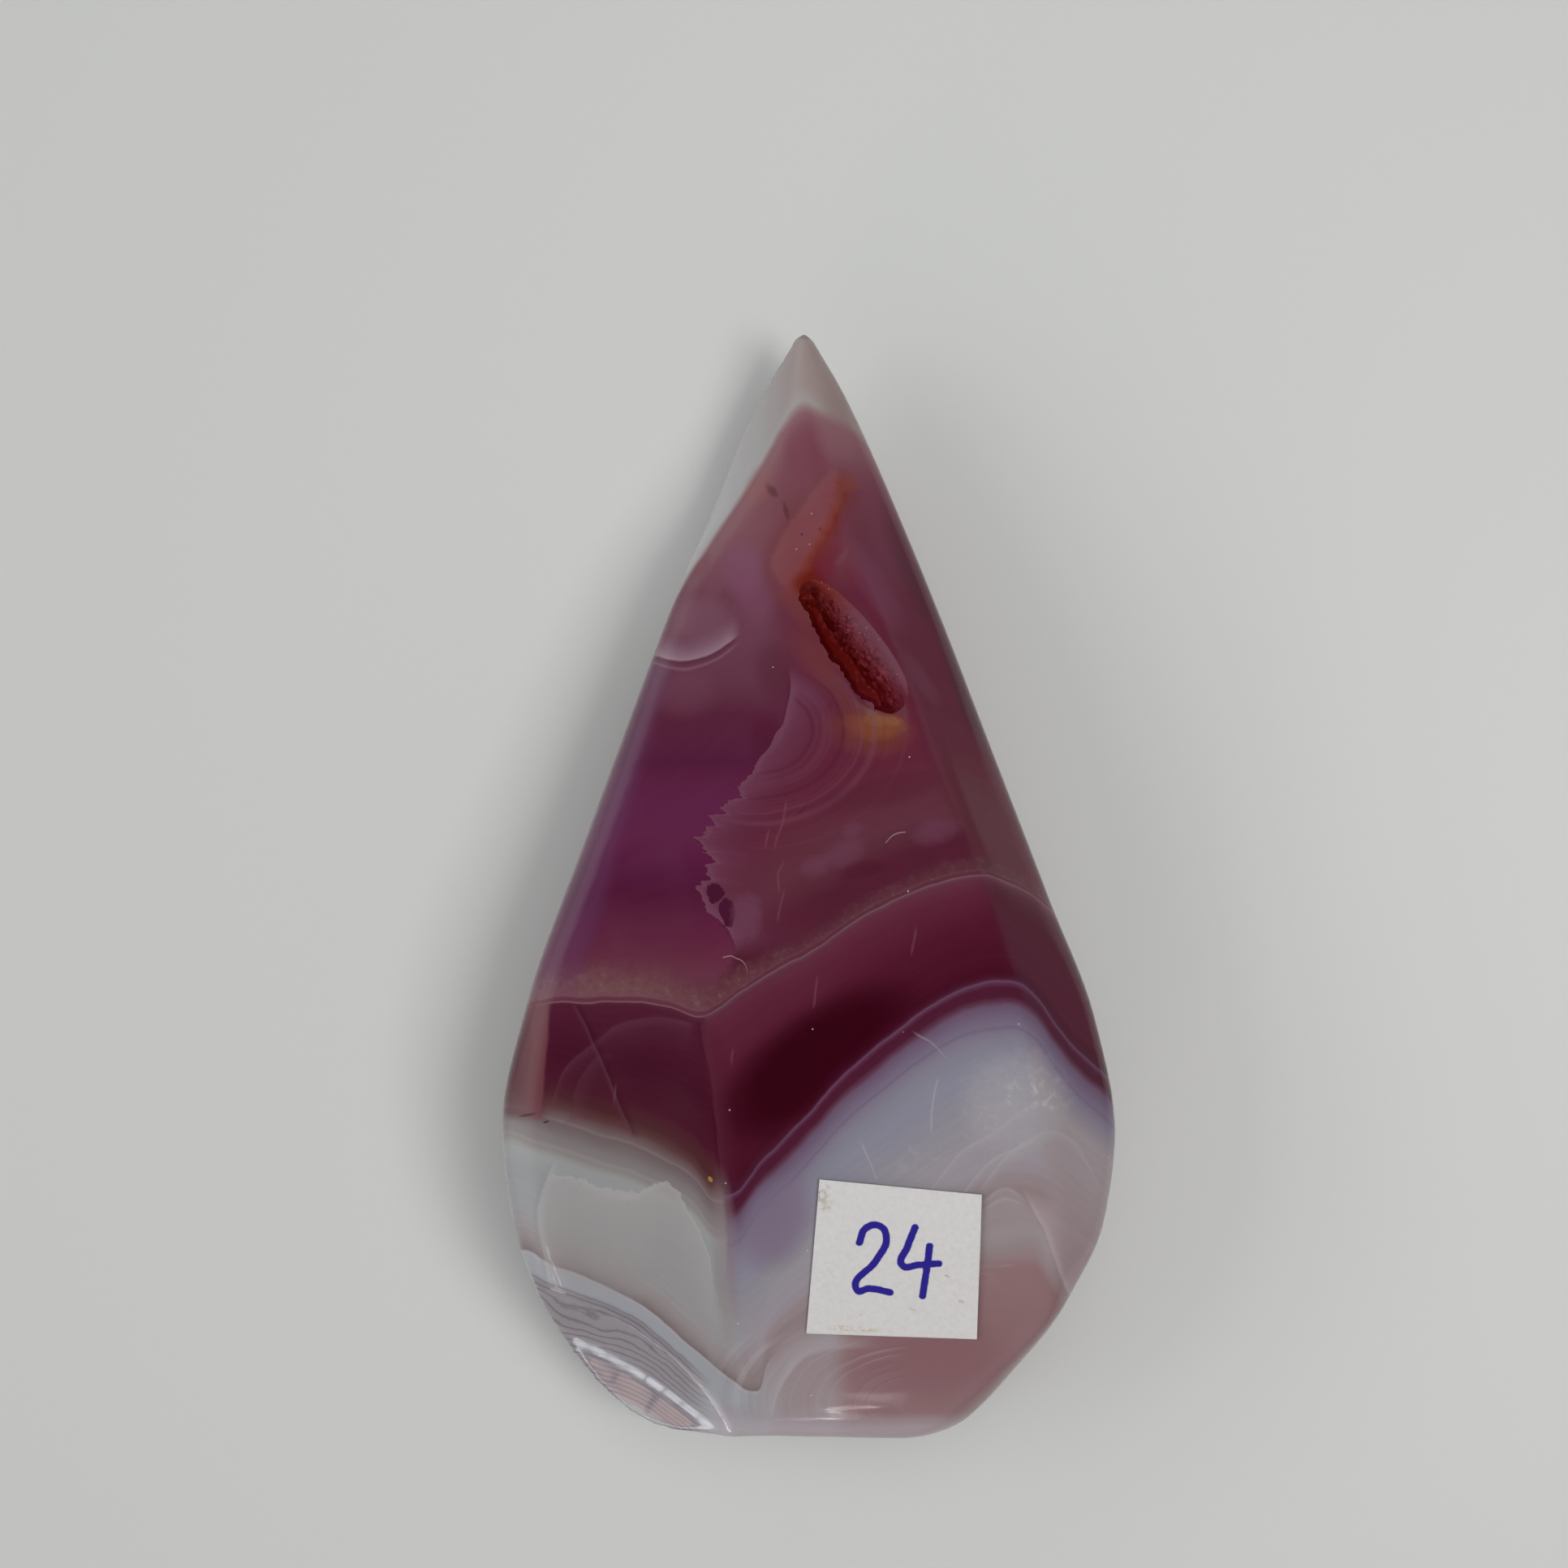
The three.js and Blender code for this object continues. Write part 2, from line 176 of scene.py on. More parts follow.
bpy.ops.object.select_all(action="DESELECT")
bpy.ops.mesh.primitive_plane_add(size=FLOOR_SIZE)
floor = bpy.context.object
floor.name = "floor"
floor_finish, _, floor_shader = new_material("satin white laminate")
floor_shader.inputs["Base Color"].default_value = linear(FLOOR_COLOUR)
floor_shader.inputs["Roughness"].default_value = 0.4
floor.data.materials.append(floor_finish)
print("floor:", FLOOR_SIZE, "m")

# %% [markdown]
# A polished stone shows what stands round it. The deep colours of this one are only seen
# because nothing bright hangs over it, so the sky of the studio is dark overhead and pale
# near the horizon on the left. A key box high on the right gives the short soft shadow on
# the left, and wide boxes overhead and on the left fill it. They light the stone but are
# kept out of its polish, as a photographer would do by turning it. Two rows of window
# panes, low in front, and a rose wall between them put the bright marks on the scoop, and
# a small lamp makes the glint near the base.

# %% Light
SKY = [(-1.0, 0.5), (0.0, 0.75), (0.45, 0.75), (0.62, 0.5), (0.74, 0.2), (0.84, 0.04), (1.0, 0.025)]
DIM_SIDE = 0.25

world = bpy.data.worlds.new("studio")
world.use_nodes = True
bpy.context.scene.world = world
sky_tree = world.node_tree
sky_tree.nodes.clear()
sky_way = add_node(sky_tree, "TexCoord").node.outputs["Generated"]
sky_axes = add_node(sky_tree, "SeparateXYZ", [sky_way]).node.outputs
sky_share = add_node(sky_tree, "MapRange", [sky_axes["Z"], -1.0, 1.0])
sky_stops = [((height + 1) / 2, (level, level, level, 1)) for height, level in SKY]
sky = add_node(sky_tree, "ValToRGB", [sky_share], stops=sky_stops)
side_level = add_node(sky_tree, "MapRange", [sky_axes["X"], -0.2, 0.8, 1.0, DIM_SIDE])
background = add_node(sky_tree, "Background", [sky, side_level])
add_node(sky_tree, "OutputWorld", [background])


def soft_box(name, place, size, strength, colour="#ffffff", in_polish=True):
    """An area light at a place, turned to the stone. Strength is its radiance."""
    data = bpy.data.lights.new(name, "AREA")
    data.shape = "RECTANGLE"
    data.size, data.size_y = size
    data.energy = strength * math.pi * size[0] * size[1]
    data.color = linear(colour)[:3]
    lamp = bpy.data.objects.new(name, data)
    lamp.location = place
    lamp.rotation_euler = (-Vector(place)).to_track_quat("-Z", "Y").to_euler()
    lamp.visible_glossy = in_polish
    bpy.context.scene.collection.objects.link(lamp)
    return lamp


def row_of_boxes(name, middle, count, step, size, strength, colour):
    """Boxes side by side, square to the line from the stone to their middle."""
    middle = Vector(middle)
    sideways = Vector((0, 0, 1)).cross(middle).normalized()
    for i in range(count):
        shift = sideways * (i - (count - 1) / 2) * step
        soft_box(f"{name} {i}", middle + shift, size, strength, colour)


KEY_PLACE = Vector((0.19, -0.04, 0.46))
KEY_AIM = Vector((0.035, 0.02, 0))
KEY_SPREAD = math.radians(108)

key = soft_box("key box", KEY_PLACE, (0.16, 0.19), 3.6, "#fffdfa", in_polish=False)
key.data.spread = KEY_SPREAD
key.rotation_euler = (KEY_AIM - KEY_PLACE).to_track_quat("-Z", "Y").to_euler()
soft_box("overhead box", (0.12, 0.2, 0.95), (0.7, 0.7), 1.9, "#fdfeff", in_polish=False)
soft_box("left box", (-0.72, 0.05, 0.55), (0.55, 0.55), 1.9, "#f6fffb", in_polish=False)
row_of_boxes("low pane", (-0.45, -0.88, 0.06), 8, 0.043, (0.034, 0.1), 6.0, "#f4f8ff")
row_of_boxes("high pane", (-0.42, -0.74, 0.6), 5, 0.04, (0.03, 0.04), 4.0, "#f4f8ff")
row_of_boxes("rose wall", (-0.42, -0.86, 0.32), 3, 0.1, (0.075, 0.3), 2.6, "#ffcfc8")
soft_box("desk lamp", (-0.11, -0.78, 0.62), (0.012, 0.008), 28.0)

# %% [markdown]
# The stone starts from the frame's own solid, so its size and facets are true. The pocket
# is closed first: its faces are deleted and the hole is filled. A voxel remesh then gives
# an even skin, the filled place is levelled with the facet round it, and a light smoothing
# rounds every edge a little, which is what polishing does. The long ridge is smoothed
# more, because it is worn softer. The pocket is cut again afterwards, because its rim has
# to stay sharp and ragged.

# %% The pocket's mouth
LEFT_RIM = [(-0.7, 24.0), (-0.1, 22.4), (0.5, 21.0), (1.2, 19.7), (2.0, 18.4), (2.9, 17.1), (3.8, 15.9)]
LEFT_RIM += [(4.9, 14.8), (6.1, 14.0), (7.2, 14.0)]
RIGHT_RIM = [(8.0, 14.8), (8.1, 16.4), (7.3, 18.2), (6.1, 20.0), (4.8, 21.7), (3.4, 23.2)]
RIGHT_RIM += [(1.9, 24.5), (0.2, 25.1)]
MOUTH_MIDDLE = (3.6, 19.4)
FACET_SPOTS = [(0.0, 15.0), (6.0, 8.0), (1.5, 29.0)]
MOUTH_STEPS = 8


def inside(outline, x, y):
    """Whether a point lies inside a closed outline."""
    within = False
    for (x0, y0), (x1, y1) in zip(outline, outline[1:] + outline[:1]):
        if (y0 > y) != (y1 > y) and x < x0 + (y - y0) * (x1 - x0) / (y1 - y0):
            within = not within
    return within


def widened(outline, factor):
    """The outline scaled about the middle of the mouth."""
    cx, cy = MOUTH_MIDDLE
    return [(cx + (x - cx) * factor, cy + (y - cy) * factor) for x, y in outline]


def rounded(outline, steps):
    """A smooth closed line through the points of an outline."""
    line = []
    count = len(outline)
    for i in range(count):
        a, b, c, d = (np.array(outline[(i + k) % count]) for k in (-1, 0, 1, 2))
        for s in np.arange(steps) / steps:
            bend = 2 * b + (c - a) * s + (2 * a - 5 * b + 4 * c - d) * s**2
            line.append((bend + (3 * b - a - 3 * c + d) * s**3) / 2)
    return line


mouth = rounded(LEFT_RIM + RIGHT_RIM, MOUTH_STEPS)
print("points round the pocket's mouth:", len(mouth))

# %% Close the pocket
SEARCHED = 1.1  # times the size of the mouth
SUNK = 0.03  # mm under the facet, from which a face belongs to the pocket
OVER_BACK = 5.0  # mm over the table, which leaves the faces of the back alone

stone = copy_of("agate_flame", "polished_agate")
bpy.ops.object.mode_set(mode="EDIT")
bpy.ops.mesh.select_mode(type="FACE")
bpy.ops.mesh.select_all(action="DESELECT")
bpy.ops.object.mode_set(mode="OBJECT")
corners = [Vector((x * MM, y * MM, front_of(stone, x * MM, y * MM))) for x, y in FACET_SPOTS]
facet = (corners[1] - corners[0]).cross(corners[2] - corners[0]).normalized()
near = widened(mouth, SEARCHED)
for face in stone.data.polygons:
    sunk = (face.center - corners[0]).dot(facet) * (1 if facet.z > 0 else -1)
    deep = sunk < -SUNK * MM and face.center.z > OVER_BACK * MM
    face.select = deep and inside(near, face.center.x / MM, face.center.y / MM)
print("faces of the pocket:", sum(face.select for face in stone.data.polygons))
bpy.ops.object.mode_set(mode="EDIT")
bpy.ops.mesh.delete(type="FACE")
bpy.ops.mesh.select_mode(type="EDGE")
bpy.ops.mesh.select_all(action="DESELECT")
bpy.ops.mesh.select_non_manifold()
bpy.ops.mesh.fill()
bpy.ops.object.mode_set(mode="OBJECT")
print("faces with the pocket closed:", len(stone.data.polygons))

# %% Polish the stone
VOXEL = 0.36 * MM
POLISH_PASSES = 8
RIDGE = [(-48, 9.8), (-41.3, 15), (-34.3, 20.2), (-28.8, 20), (-20.3, 18.8), (-10.8, 17.2), (0.7, 13.9)]
RIDGE += [(12.7, 9.2), (25.7, 4.4), (35.7, 1.2), (47, 0.2)]
RIDGE_PASSES = 30
RIDGE_REACH = 3.0
LEVELLED = (1.05, 1.15, 1.25, 1.35, 1.45, 1.55)  # times the size of the mouth, fading out
LEVELLED_HALF = (9.0, 11.0)
MOST_LIFT = 1.5
OFF_RIDGE = 0.6
OVER_TABLE = 4.0

finish_with(stone, "REMESH", mode="VOXEL", voxel_size=VOXEL)
ridge_along, ridge_across = zip(*RIDGE)
wider_mouths = [widened(mouth, factor) for factor in LEVELLED]
for vertex in stone.data.vertices:
    x, y, z = vertex.co / MM
    off_x, off_y = abs(x - MOUTH_MIDDLE[0]), abs(y - MOUTH_MIDDLE[1])
    close = z > OVER_BACK and off_x < LEVELLED_HALF[0] and off_y < LEVELLED_HALF[1]
    left_of_ridge = x < np.interp(y, ridge_along, ridge_across) - OFF_RIDGE
    if close and left_of_ridge and inside(wider_mouths[-1], x, y):
        lift = (corners[0] - vertex.co).dot(facet) / facet.z
        if abs(lift) < MOST_LIFT * MM:
            vertex.co.z += lift * sum(inside(wider, x, y) for wider in wider_mouths) / len(wider_mouths)
finish_with(stone, "SMOOTH", factor=0.5, iterations=POLISH_PASSES)
soft_ridge = stone.vertex_groups.new(name="soft_ridge")
for vertex in stone.data.vertices:
    x, y, z = vertex.co / MM
    gap = abs(x - np.interp(y, ridge_along, ridge_across))
    if gap < RIDGE_REACH and z > OVER_TABLE:
        soft_ridge.add([vertex.index], 1 - gap / RIDGE_REACH, "REPLACE")
finish_with(stone, "SMOOTH", factor=0.5, iterations=RIDGE_PASSES, vertex_group="soft_ridge")
print("faces after polishing:", len(stone.data.polygons))

# %% [markdown]
# The pocket's cutter is a circle whose points are moved to the outline of the mouth. The
# left side of the outline is ragged, as the skin of the hollow broke there. It is extruded
# straight down, and a boolean takes it out of the stone.

# %% Cut the pocket
RAGGED = 0.26
COARSE_JAGS = 1.1
FINE_JAGS = 3.0
CUT_START = 0.8
CUT_DEPTH = 4.8
SHARP_RIM = math.radians(38)

bpy.ops.object.select_all(action="DESELECT")
bpy.ops.mesh.primitive_circle_add(vertices=len(mouth), fill_type="NGON")
cutter = bpy.context.object
cutter.name = "pocket_cutter"
left_count = (len(LEFT_RIM) - 1) * MOUTH_STEPS
for i, (x, y) in enumerate(mouth):
    if 0 < i < left_count:
        jag = noise.noise(Vector((x * COARSE_JAGS, y * COARSE_JAGS, 0.5)))
        jag += 0.7 * noise.noise(Vector((x * FINE_JAGS, y * FINE_JAGS, 3)))
        mouth[i] = np.array((x + jag * RAGGED, y + jag * RAGGED * 0.7))
for vertex, (x, y) in zip(cutter.data.vertices, mouth):
    vertex.co = Vector((x * MM, y * MM, front_of(stone, x * MM, y * MM) + CUT_START * MM))
alone(cutter)
bpy.ops.object.mode_set(mode="EDIT")
bpy.ops.mesh.select_all(action="SELECT")
bpy.ops.mesh.extrude_region_move(TRANSFORM_OT_translate={"value": (0, 0, -CUT_DEPTH * MM)})
bpy.ops.mesh.select_all(action="SELECT")
bpy.ops.mesh.normals_make_consistent(inside=False)
bpy.ops.object.mode_set(mode="OBJECT")
whole_stone = stone.copy()
whole_stone.data = stone.data.copy()
bpy.context.scene.collection.objects.link(whole_stone)
finish_with(stone, "BOOLEAN", object=cutter, operation="DIFFERENCE", solver="EXACT")
alone(stone)
bpy.ops.object.shade_smooth_by_angle(angle=SHARP_RIM)
print("faces with the pocket cut:", len(stone.data.polygons))

# %% [markdown]
# The lining of the pocket is a crust of tiny quartz crystals. It falls steeply under the
# left rim and climbs gently to the right one, where it meets the polished face. It is a
# fine grid whose points are set at that depth below the stone's front. Each crystal is a
# cell with a tilt of its own, so it catches the light by itself. The grid's border is
# drawn down and closed, and so the crust is a solid.

# %% Druse lining
LINING_SIZE = (15.6, 9.4)
LINING_HEADING = math.radians(-54)
LINING_CELLS = (260, 156)
DEEPEST = 2.5
RIM_DEPTH = 0.05
RIGHT_RIM_DEPTH = 0.012
OUTSIDE_DEPTH = 0.35
FALL_WIDTH = 0.5
FALL_BEND = 0.6
CLIMB_STEEPNESS = 1.45
CLIMB_BEND = 1.3
BARE_SHARE = 0.22  # of the way across, before the first crystals on the left wall
BARE_RIM = 2.4  # mm from the right rim, over which the crystals grow smaller
CRYSTAL_SIZE = 0.3
CRYSTAL_RELIEF = 0.1
CRYSTAL_TILT = 0.9
CRYSTAL_EDGE = math.radians(24)
LINING_BOTTOM = 3.2

bpy.ops.object.select_all(action="DESELECT")
bpy.ops.mesh.primitive_grid_add(x_subdivisions=LINING_CELLS[0], y_subdivisions=LINING_CELLS[1], size=1)
lining = bpy.context.object
lining.name = "druse_lining"
lining.scale = (LINING_SIZE[0] * MM, LINING_SIZE[1] * MM, 1)
lining.rotation_euler = (0, 0, LINING_HEADING)
lining.location = (MOUTH_MIDDLE[0] * MM, MOUTH_MIDDLE[1] * MM, 0)
bpy.ops.object.transform_apply(location=True, rotation=True, scale=True)

rim = np.array(mouth)
left_rim, right_rim = rim[:left_count], rim[left_count:]
outline = [tuple(point) for point in mouth]


def gap_to(line, x, y):
    """Distance from a point to the nearest point of a line."""
    return float(np.hypot(line[:, 0] - x, line[:, 1] - y).min())


slope = lining.data.attributes.new("slope_share", "FLOAT", "POINT")
for vertex, share in zip(lining.data.vertices, slope.data):
    x, y = vertex.co.x / MM, vertex.co.y / MM
    top = front_of(whole_stone, vertex.co.x, vertex.co.y)
    left, right = gap_to(left_rim, x, y), gap_to(right_rim, x, y)
    share.value = left / (left + right)
    depth = RIM_DEPTH
    crystal = 0.0
    if inside(outline, x, y):
        fall = min(1.0, left / FALL_WIDTH)
        climb = min(1.0, (1 - share.value) * CLIMB_STEEPNESS)
        depth = RIGHT_RIM_DEPTH + DEEPEST * fall**FALL_BEND * climb**CLIMB_BEND
        grown = max(0.0, min(1.0, (share.value - BARE_SHARE) / 0.2, right / BARE_RIM))
        _, middles = noise.voronoi(Vector((x, y, depth)) / CRYSTAL_SIZE)
        lean = noise.cell_vector(middles[0] * 7.3) - Vector((0.5, 0.5, 0.5))
        offset = Vector((x, y, depth)) / CRYSTAL_SIZE - middles[0]
        crystal = (lean.dot(offset) * CRYSTAL_TILT + lean.z) * CRYSTAL_RELIEF * grown
    elif share.value < 0.5:
        depth = RIM_DEPTH + OUTSIDE_DEPTH
    vertex.co.z = top - (depth - crystal) * MM
alone(lining)
bpy.ops.object.mode_set(mode="EDIT")
bpy.ops.mesh.select_mode(type="EDGE")
bpy.ops.mesh.select_all(action="SELECT")
bpy.ops.mesh.region_to_loop()
bpy.ops.mesh.extrude_edges_move(TRANSFORM_OT_translate={"value": (0, 0, -LINING_BOTTOM * MM)})
bpy.ops.mesh.edge_face_add()
bpy.ops.mesh.select_all(action="SELECT")
bpy.ops.mesh.normals_make_consistent(inside=False)
bpy.ops.object.mode_set(mode="OBJECT")
bpy.ops.object.shade_smooth_by_angle(angle=CRYSTAL_EDGE)
bpy.data.objects.remove(cutter)
bpy.data.objects.remove(whole_stone)
print("faces of the lining:", len(lining.data.polygons))

# %% [markdown]
# The label is cut by hand from stiff white paper. The copy of the frame's label is
# subdivided until a pen stroke is several faces wide, and its sheet is waved by a few
# hundredths of a millimetre, as paper is that has been handled.

# %% Paper label
LABEL_CUTS = 10
PAPER_WAVE = 0.05
BROAD_WAVES = 0.22
FINE_WAVES = 0.9
PAPER_EDGE = math.radians(40)

label = copy_of("paper_label", "number_label")
bpy.ops.object.mode_set(mode="EDIT")
bpy.ops.mesh.select_all(action="SELECT")
bpy.ops.mesh.tris_convert_to_quads()
bpy.ops.mesh.subdivide(number_cuts=LABEL_CUTS)
bpy.ops.object.mode_set(mode="OBJECT")
for vertex in label.data.vertices:
    wave = noise.noise(vertex.co / MM * BROAD_WAVES) + 0.35 * noise.noise(vertex.co / MM * FINE_WAVES)
    vertex.co.z += (wave * 0.5 + 0.3) * PAPER_WAVE * MM
label_low = Vector(map(min, *[v.co for v in label.data.vertices]))
label_high = Vector(map(max, *[v.co for v in label.data.vertices]))
label_middle = (label_low + label_high) / 2
bpy.ops.object.shade_smooth_by_angle(angle=PAPER_EDGE)
print("faces of the label:", len(label.data.polygons))

# %% [markdown]
# The number is written with a blue ballpoint. It is colour and not relief, so the strokes
# are drawn as curves, and each point of the paper keeps its distance to the nearest
# stroke in an attribute that the paper's material reads.

# %% Pen strokes
PEN_STROKES = [
    [(-2.75, 1.5), (-2.2, 2.75), (-1.1, 2.95), (-0.55, 1.9)]
    + [(-1.3, 0.1), (-2.9, -2.6), (-1.9, -2.45), (-0.2, -2.75)],
    [(1.75, 2.9), (1.15, 1.2), (0.75, -0.35), (2.1, -0.3), (3.7, -0.15)],
    [(2.95, 1.35), (2.75, -0.6), (2.45, -3.0)],
]

dots = []
for stroke in PEN_STROKES:
    curve_data = bpy.data.curves.new("stroke", "CURVE")
    curve_data.dimensions = "3D"
    curve_data.resolution_u = 24
    spline = curve_data.splines.new("BEZIER")
    spline.bezier_points.add(len(stroke) - 1)
    for point, (x, y) in zip(spline.bezier_points, stroke):
        point.co = (x, y, 0)
        point.handle_left_type = point.handle_right_type = "AUTO"
    stroke_object = bpy.data.objects.new("stroke", curve_data)
    bpy.context.scene.collection.objects.link(stroke_object)
    alone(stroke_object)
    bpy.ops.object.convert(target="MESH")
    dots += [vertex.co.copy() for vertex in bpy.context.object.data.vertices]
    bpy.data.objects.remove(bpy.context.object)
tree_of_dots = KDTree(len(dots))
for i, dot in enumerate(dots):
    tree_of_dots.insert(dot, i)
tree_of_dots.balance()
ink = label.data.attributes.new("ink_distance", "FLOAT", "POINT")
for vertex, value in zip(label.data.vertices, ink.data):
    place = (vertex.co - label_middle) / MM
    value.value = tree_of_dots.find(Vector((place.x, place.y, 0)))[2]
print("points along the pen strokes:", len(dots))

# %% [markdown]
# Agate is chalcedony laid down in bands, ground to facets and polished until it mirrors.
# The colours of this one run from garnet red through plum to pale greys. Those that come
# back in several places are named once here, and the patterns below ask for them by name.

# %% Names of the colours
STONE_COLOURS = {
    "night": "#2a0411",
    "garnet": "#3d0418",
    "dark maroon": "#481229",
    "maroon": "#511d2f",
    "wine": "#5d2f3c",
    "burgundy": "#5e2235",
    "deep magenta": "#521b39",
    "plum": "#673a4b",
    "brick": "#6c343f",
    "rose plum": "#73404e",
    "violet plum": "#754560",
    "dusty rose": "#835a62",
    "taupe": "#5d3d3e",
    "mauve": "#766873",
    "dim lilac": "#5f4158",
    "blue grey": "#83868e",
    "warm grey": "#807a7b",
    "pale mauve": "#92888c",
    "dusty mauve": "#867577",
    "rose grey": "#836467",
    "ash": "#989899",
    "frost": "#b8afb4",
    "chalk": "#c6c2c4",
    "salmon": "#80444a",
    "rust": "#6c2118",
    "amber": "#8c5528",
}

# %% [markdown]
# The bands are layers that run through the stone, so the material works in layer heights:
# the height of a point along the stone, less a share of its depth. A slow noise moves
# every point by a few tenths of a millimetre, so no band runs quite straight.

# %% The agate's material and its coordinates
DIP = 0.6
FRONT_LEVEL = 18.0
DRIFT = 0.5

agate, tree, agate_shader = new_material("polished banded agate")
coordinates = add_node(tree, "TexCoord").node.outputs
in_mm = add_node(tree, "VectorMath", {"Vector": coordinates["Object"], "Scale": 1 / MM}, operation="SCALE")
drift = add_node(tree, "TexNoise", {"Vector": in_mm, "Scale": 0.25, "Detail": 3.0}).node.outputs["Color"]
drift = add_node(tree, "VectorMath", [drift, (0.5, 0.5, 0.5)], operation="SUBTRACT")
drift = add_node(tree, "VectorMath", {"Vector": drift, "Scale": DRIFT}, operation="SCALE")
place = add_node(tree, "VectorMath", [in_mm, drift], operation="ADD")
place_axes = add_node(tree, "SeparateXYZ", [place]).node.outputs
across, along, up = place_axes["X"], place_axes["Y"], place_axes["Z"]
depth_part = add_node(tree, "Math", [up, -DIP, DIP * FRONT_LEVEL], operation="MULTIPLY_ADD")
layer_height = add_node(tree, "Math", [along, depth_part], operation="ADD")
facing_up = add_node(tree, "SeparateXYZ", [coordinates["Normal"]]).node.outputs["Z"]
front_share = add_node(tree, "MapRange", [facing_up, 0.25, 0.55], **SMOOTH)
grain = add_node(tree, "TexNoise", {"Vector": in_mm, "Scale": 1.1, "Detail": 7.0, "Roughness": 0.65})
jagged = add_node(tree, "Math", [grain, 2.0, -1.0], operation="MULTIPLY_ADD")

# %% [markdown]
# A few helpers draw on the stone. One turns a distance in millimetres, or another value,
# into a run of colours, and one lays that run over what is there. One gives a window, which
# is a share that is full between two places. One draws a line through points given in
# millimetres, one lays a soft oval spot, and the last gives the rings of an old growth
# centre.

# %% Helpers that draw on the stone


def colour_run(value, stops):
    """Colour and opacity along a value. A stop is a value, a colour and maybe an opacity."""
    low, high = stops[0][0], stops[-1][0]
    share = add_node(tree, "MapRange", [value, low, high], clamp=False)
    marks = []
    for at, tint, *opacity in stops:
        marks.append(((at - low) / (high - low), linear(STONE_COLOURS.get(tint, tint), *opacity)))
    ramp = add_node(tree, "ValToRGB", [share], stops=marks).node
    return ramp.outputs["Color"], ramp.outputs["Alpha"]


def laid_run(under, value, stops, *shares):
    """Lays a run of colours over a colour. Each share, from 0 to 1, thins it out further."""
    tint, opacity = colour_run(value, stops)
    for share in shares:
        opacity = add_node(tree, "Math", [opacity, share], operation="MULTIPLY")
    return add_node(tree, "MixRGB", [opacity, under, tint])


def between(value, start, end, soft):
    """A share that is 1 from start to end and falls to 0 over a soft margin."""
    off_middle = add_node(tree, "Math", [value, (start + end) / 2], operation="SUBTRACT")
    away = add_node(tree, "Math", [off_middle], operation="ABSOLUTE")
    half = abs(end - start) / 2
    return add_node(tree, "MapRange", [away, half + soft / 2, half - soft / 2], **SMOOTH)


def upright_line(points):
    """The points of a line that runs along the stone: first the place along, then across."""
    return sorted((y, x) for x, y in points)


def drawn_line(under, points, stops, upright=False, soft=0.8):
    """Lays a line through points. An upright one is drawn along the stone's length."""
    axis, other = (along, across) if upright else (across, along)
    order = upright_line(points) if upright else sorted(points)
    curve = add_node(tree, "FloatCurve", {"Value": axis}, points=order)
    gap = add_node(tree, "Math", [other, curve], operation="SUBTRACT")
    return laid_run(under, gap, stops, between(axis, order[0][0], order[-1][0], soft))


def soft_spot(under, tint, middle, size, turn=0.0, strength=1.0, core=0.0, ragged=0.0):
    """Lays an oval spot: its middle, its two radii in millimetres and its turn in degrees.

    The core is the share of it that has its full strength. A ragged one has a broken edge.
    """
    cosine, sine = math.cos(math.radians(turn)), math.sin(math.radians(turn))
    off_x = add_node(tree, "Math", [across, middle[0]], operation="SUBTRACT")
    off_y = add_node(tree, "Math", [along, middle[1]], operation="SUBTRACT")
    one = add_node(tree, "Math", [off_x, cosine / size[0]], operation="MULTIPLY")
    one = add_node(tree, "Math", [off_y, sine / size[0], one], operation="MULTIPLY_ADD")
    two = add_node(tree, "Math", [off_x, -sine / size[1]], operation="MULTIPLY")
    two = add_node(tree, "Math", [off_y, cosine / size[1], two], operation="MULTIPLY_ADD")
    away = add_node(tree, "Math", [one, one], operation="MULTIPLY")
    away = add_node(tree, "Math", [two, two, away], operation="MULTIPLY_ADD")
    if ragged:
        away = add_node(tree, "Math", [jagged, ragged, away], operation="MULTIPLY_ADD")
    share = add_node(tree, "MapRange", [away, 1.0, core, 0.0, strength], **SMOOTH)
    return add_node(tree, "MixRGB", [share, under, linear(STONE_COLOURS.get(tint, tint))])


def rings_round(middle, size):
    """Distance from an upright axis in the stone, in ring radii of the given two sizes."""
    off = add_node(tree, "VectorMath", [place, (*middle, 0)], operation="SUBTRACT")
    off = add_node(tree, "VectorMath", [off, (1 / size[0], 1 / size[1], 0)], operation="MULTIPLY")
    return add_node(tree, "VectorMath", [off], operation="LENGTH").node.outputs["Value"]


# %% [markdown]
# Four seams part the stone: the pale cap of the tip, the upper seam with its fine pale
# line, the lower seam where the maroon meets the pale layers, and the last one near the
# base. Between two seams a point has a share of the way down, and the sum of those
# shares, from 0 to 4, says where it is in the stone's growth.

# %% Seams
CAP_SEAM = [(-14, 21), (-9.4, 29.0), (-6.8, 33.4), (-4.3, 37.5), (-3.0, 39.8), (-1.8, 42.1), (-1.0, 43.1)]
CAP_SEAM += [(-0.2, 43.4), (0.7, 42.9), (1.8, 42.3), (2.9, 42.0), (5.0, 41.2), (8, 40)]
UPPER_SEAM = [(-26, -10.3), (-23.6, -10.5), (-21.3, -11.0), (-18.8, -11.1), (-15.9, -10.6), (-14, -10.5)]
UPPER_SEAM += [(-11.2, -10.6), (-8.9, -11.15), (-8.3, -11.0), (-6, -9.7), (-3.7, -8.4), (1, -6.3)]
UPPER_SEAM += [(3.9, -4.7), (6.8, -3.5), (10.1, -2.5), (13.6, -2.0), (16.7, -1.8), (20.1, -2.7), (26, -5)]
LOWER_SEAM = [(-26, -17.8), (-25, -18.1), (-21.5, -19.9), (-18.2, -20.8), (-13.6, -21.9), (-9.7, -23.6)]
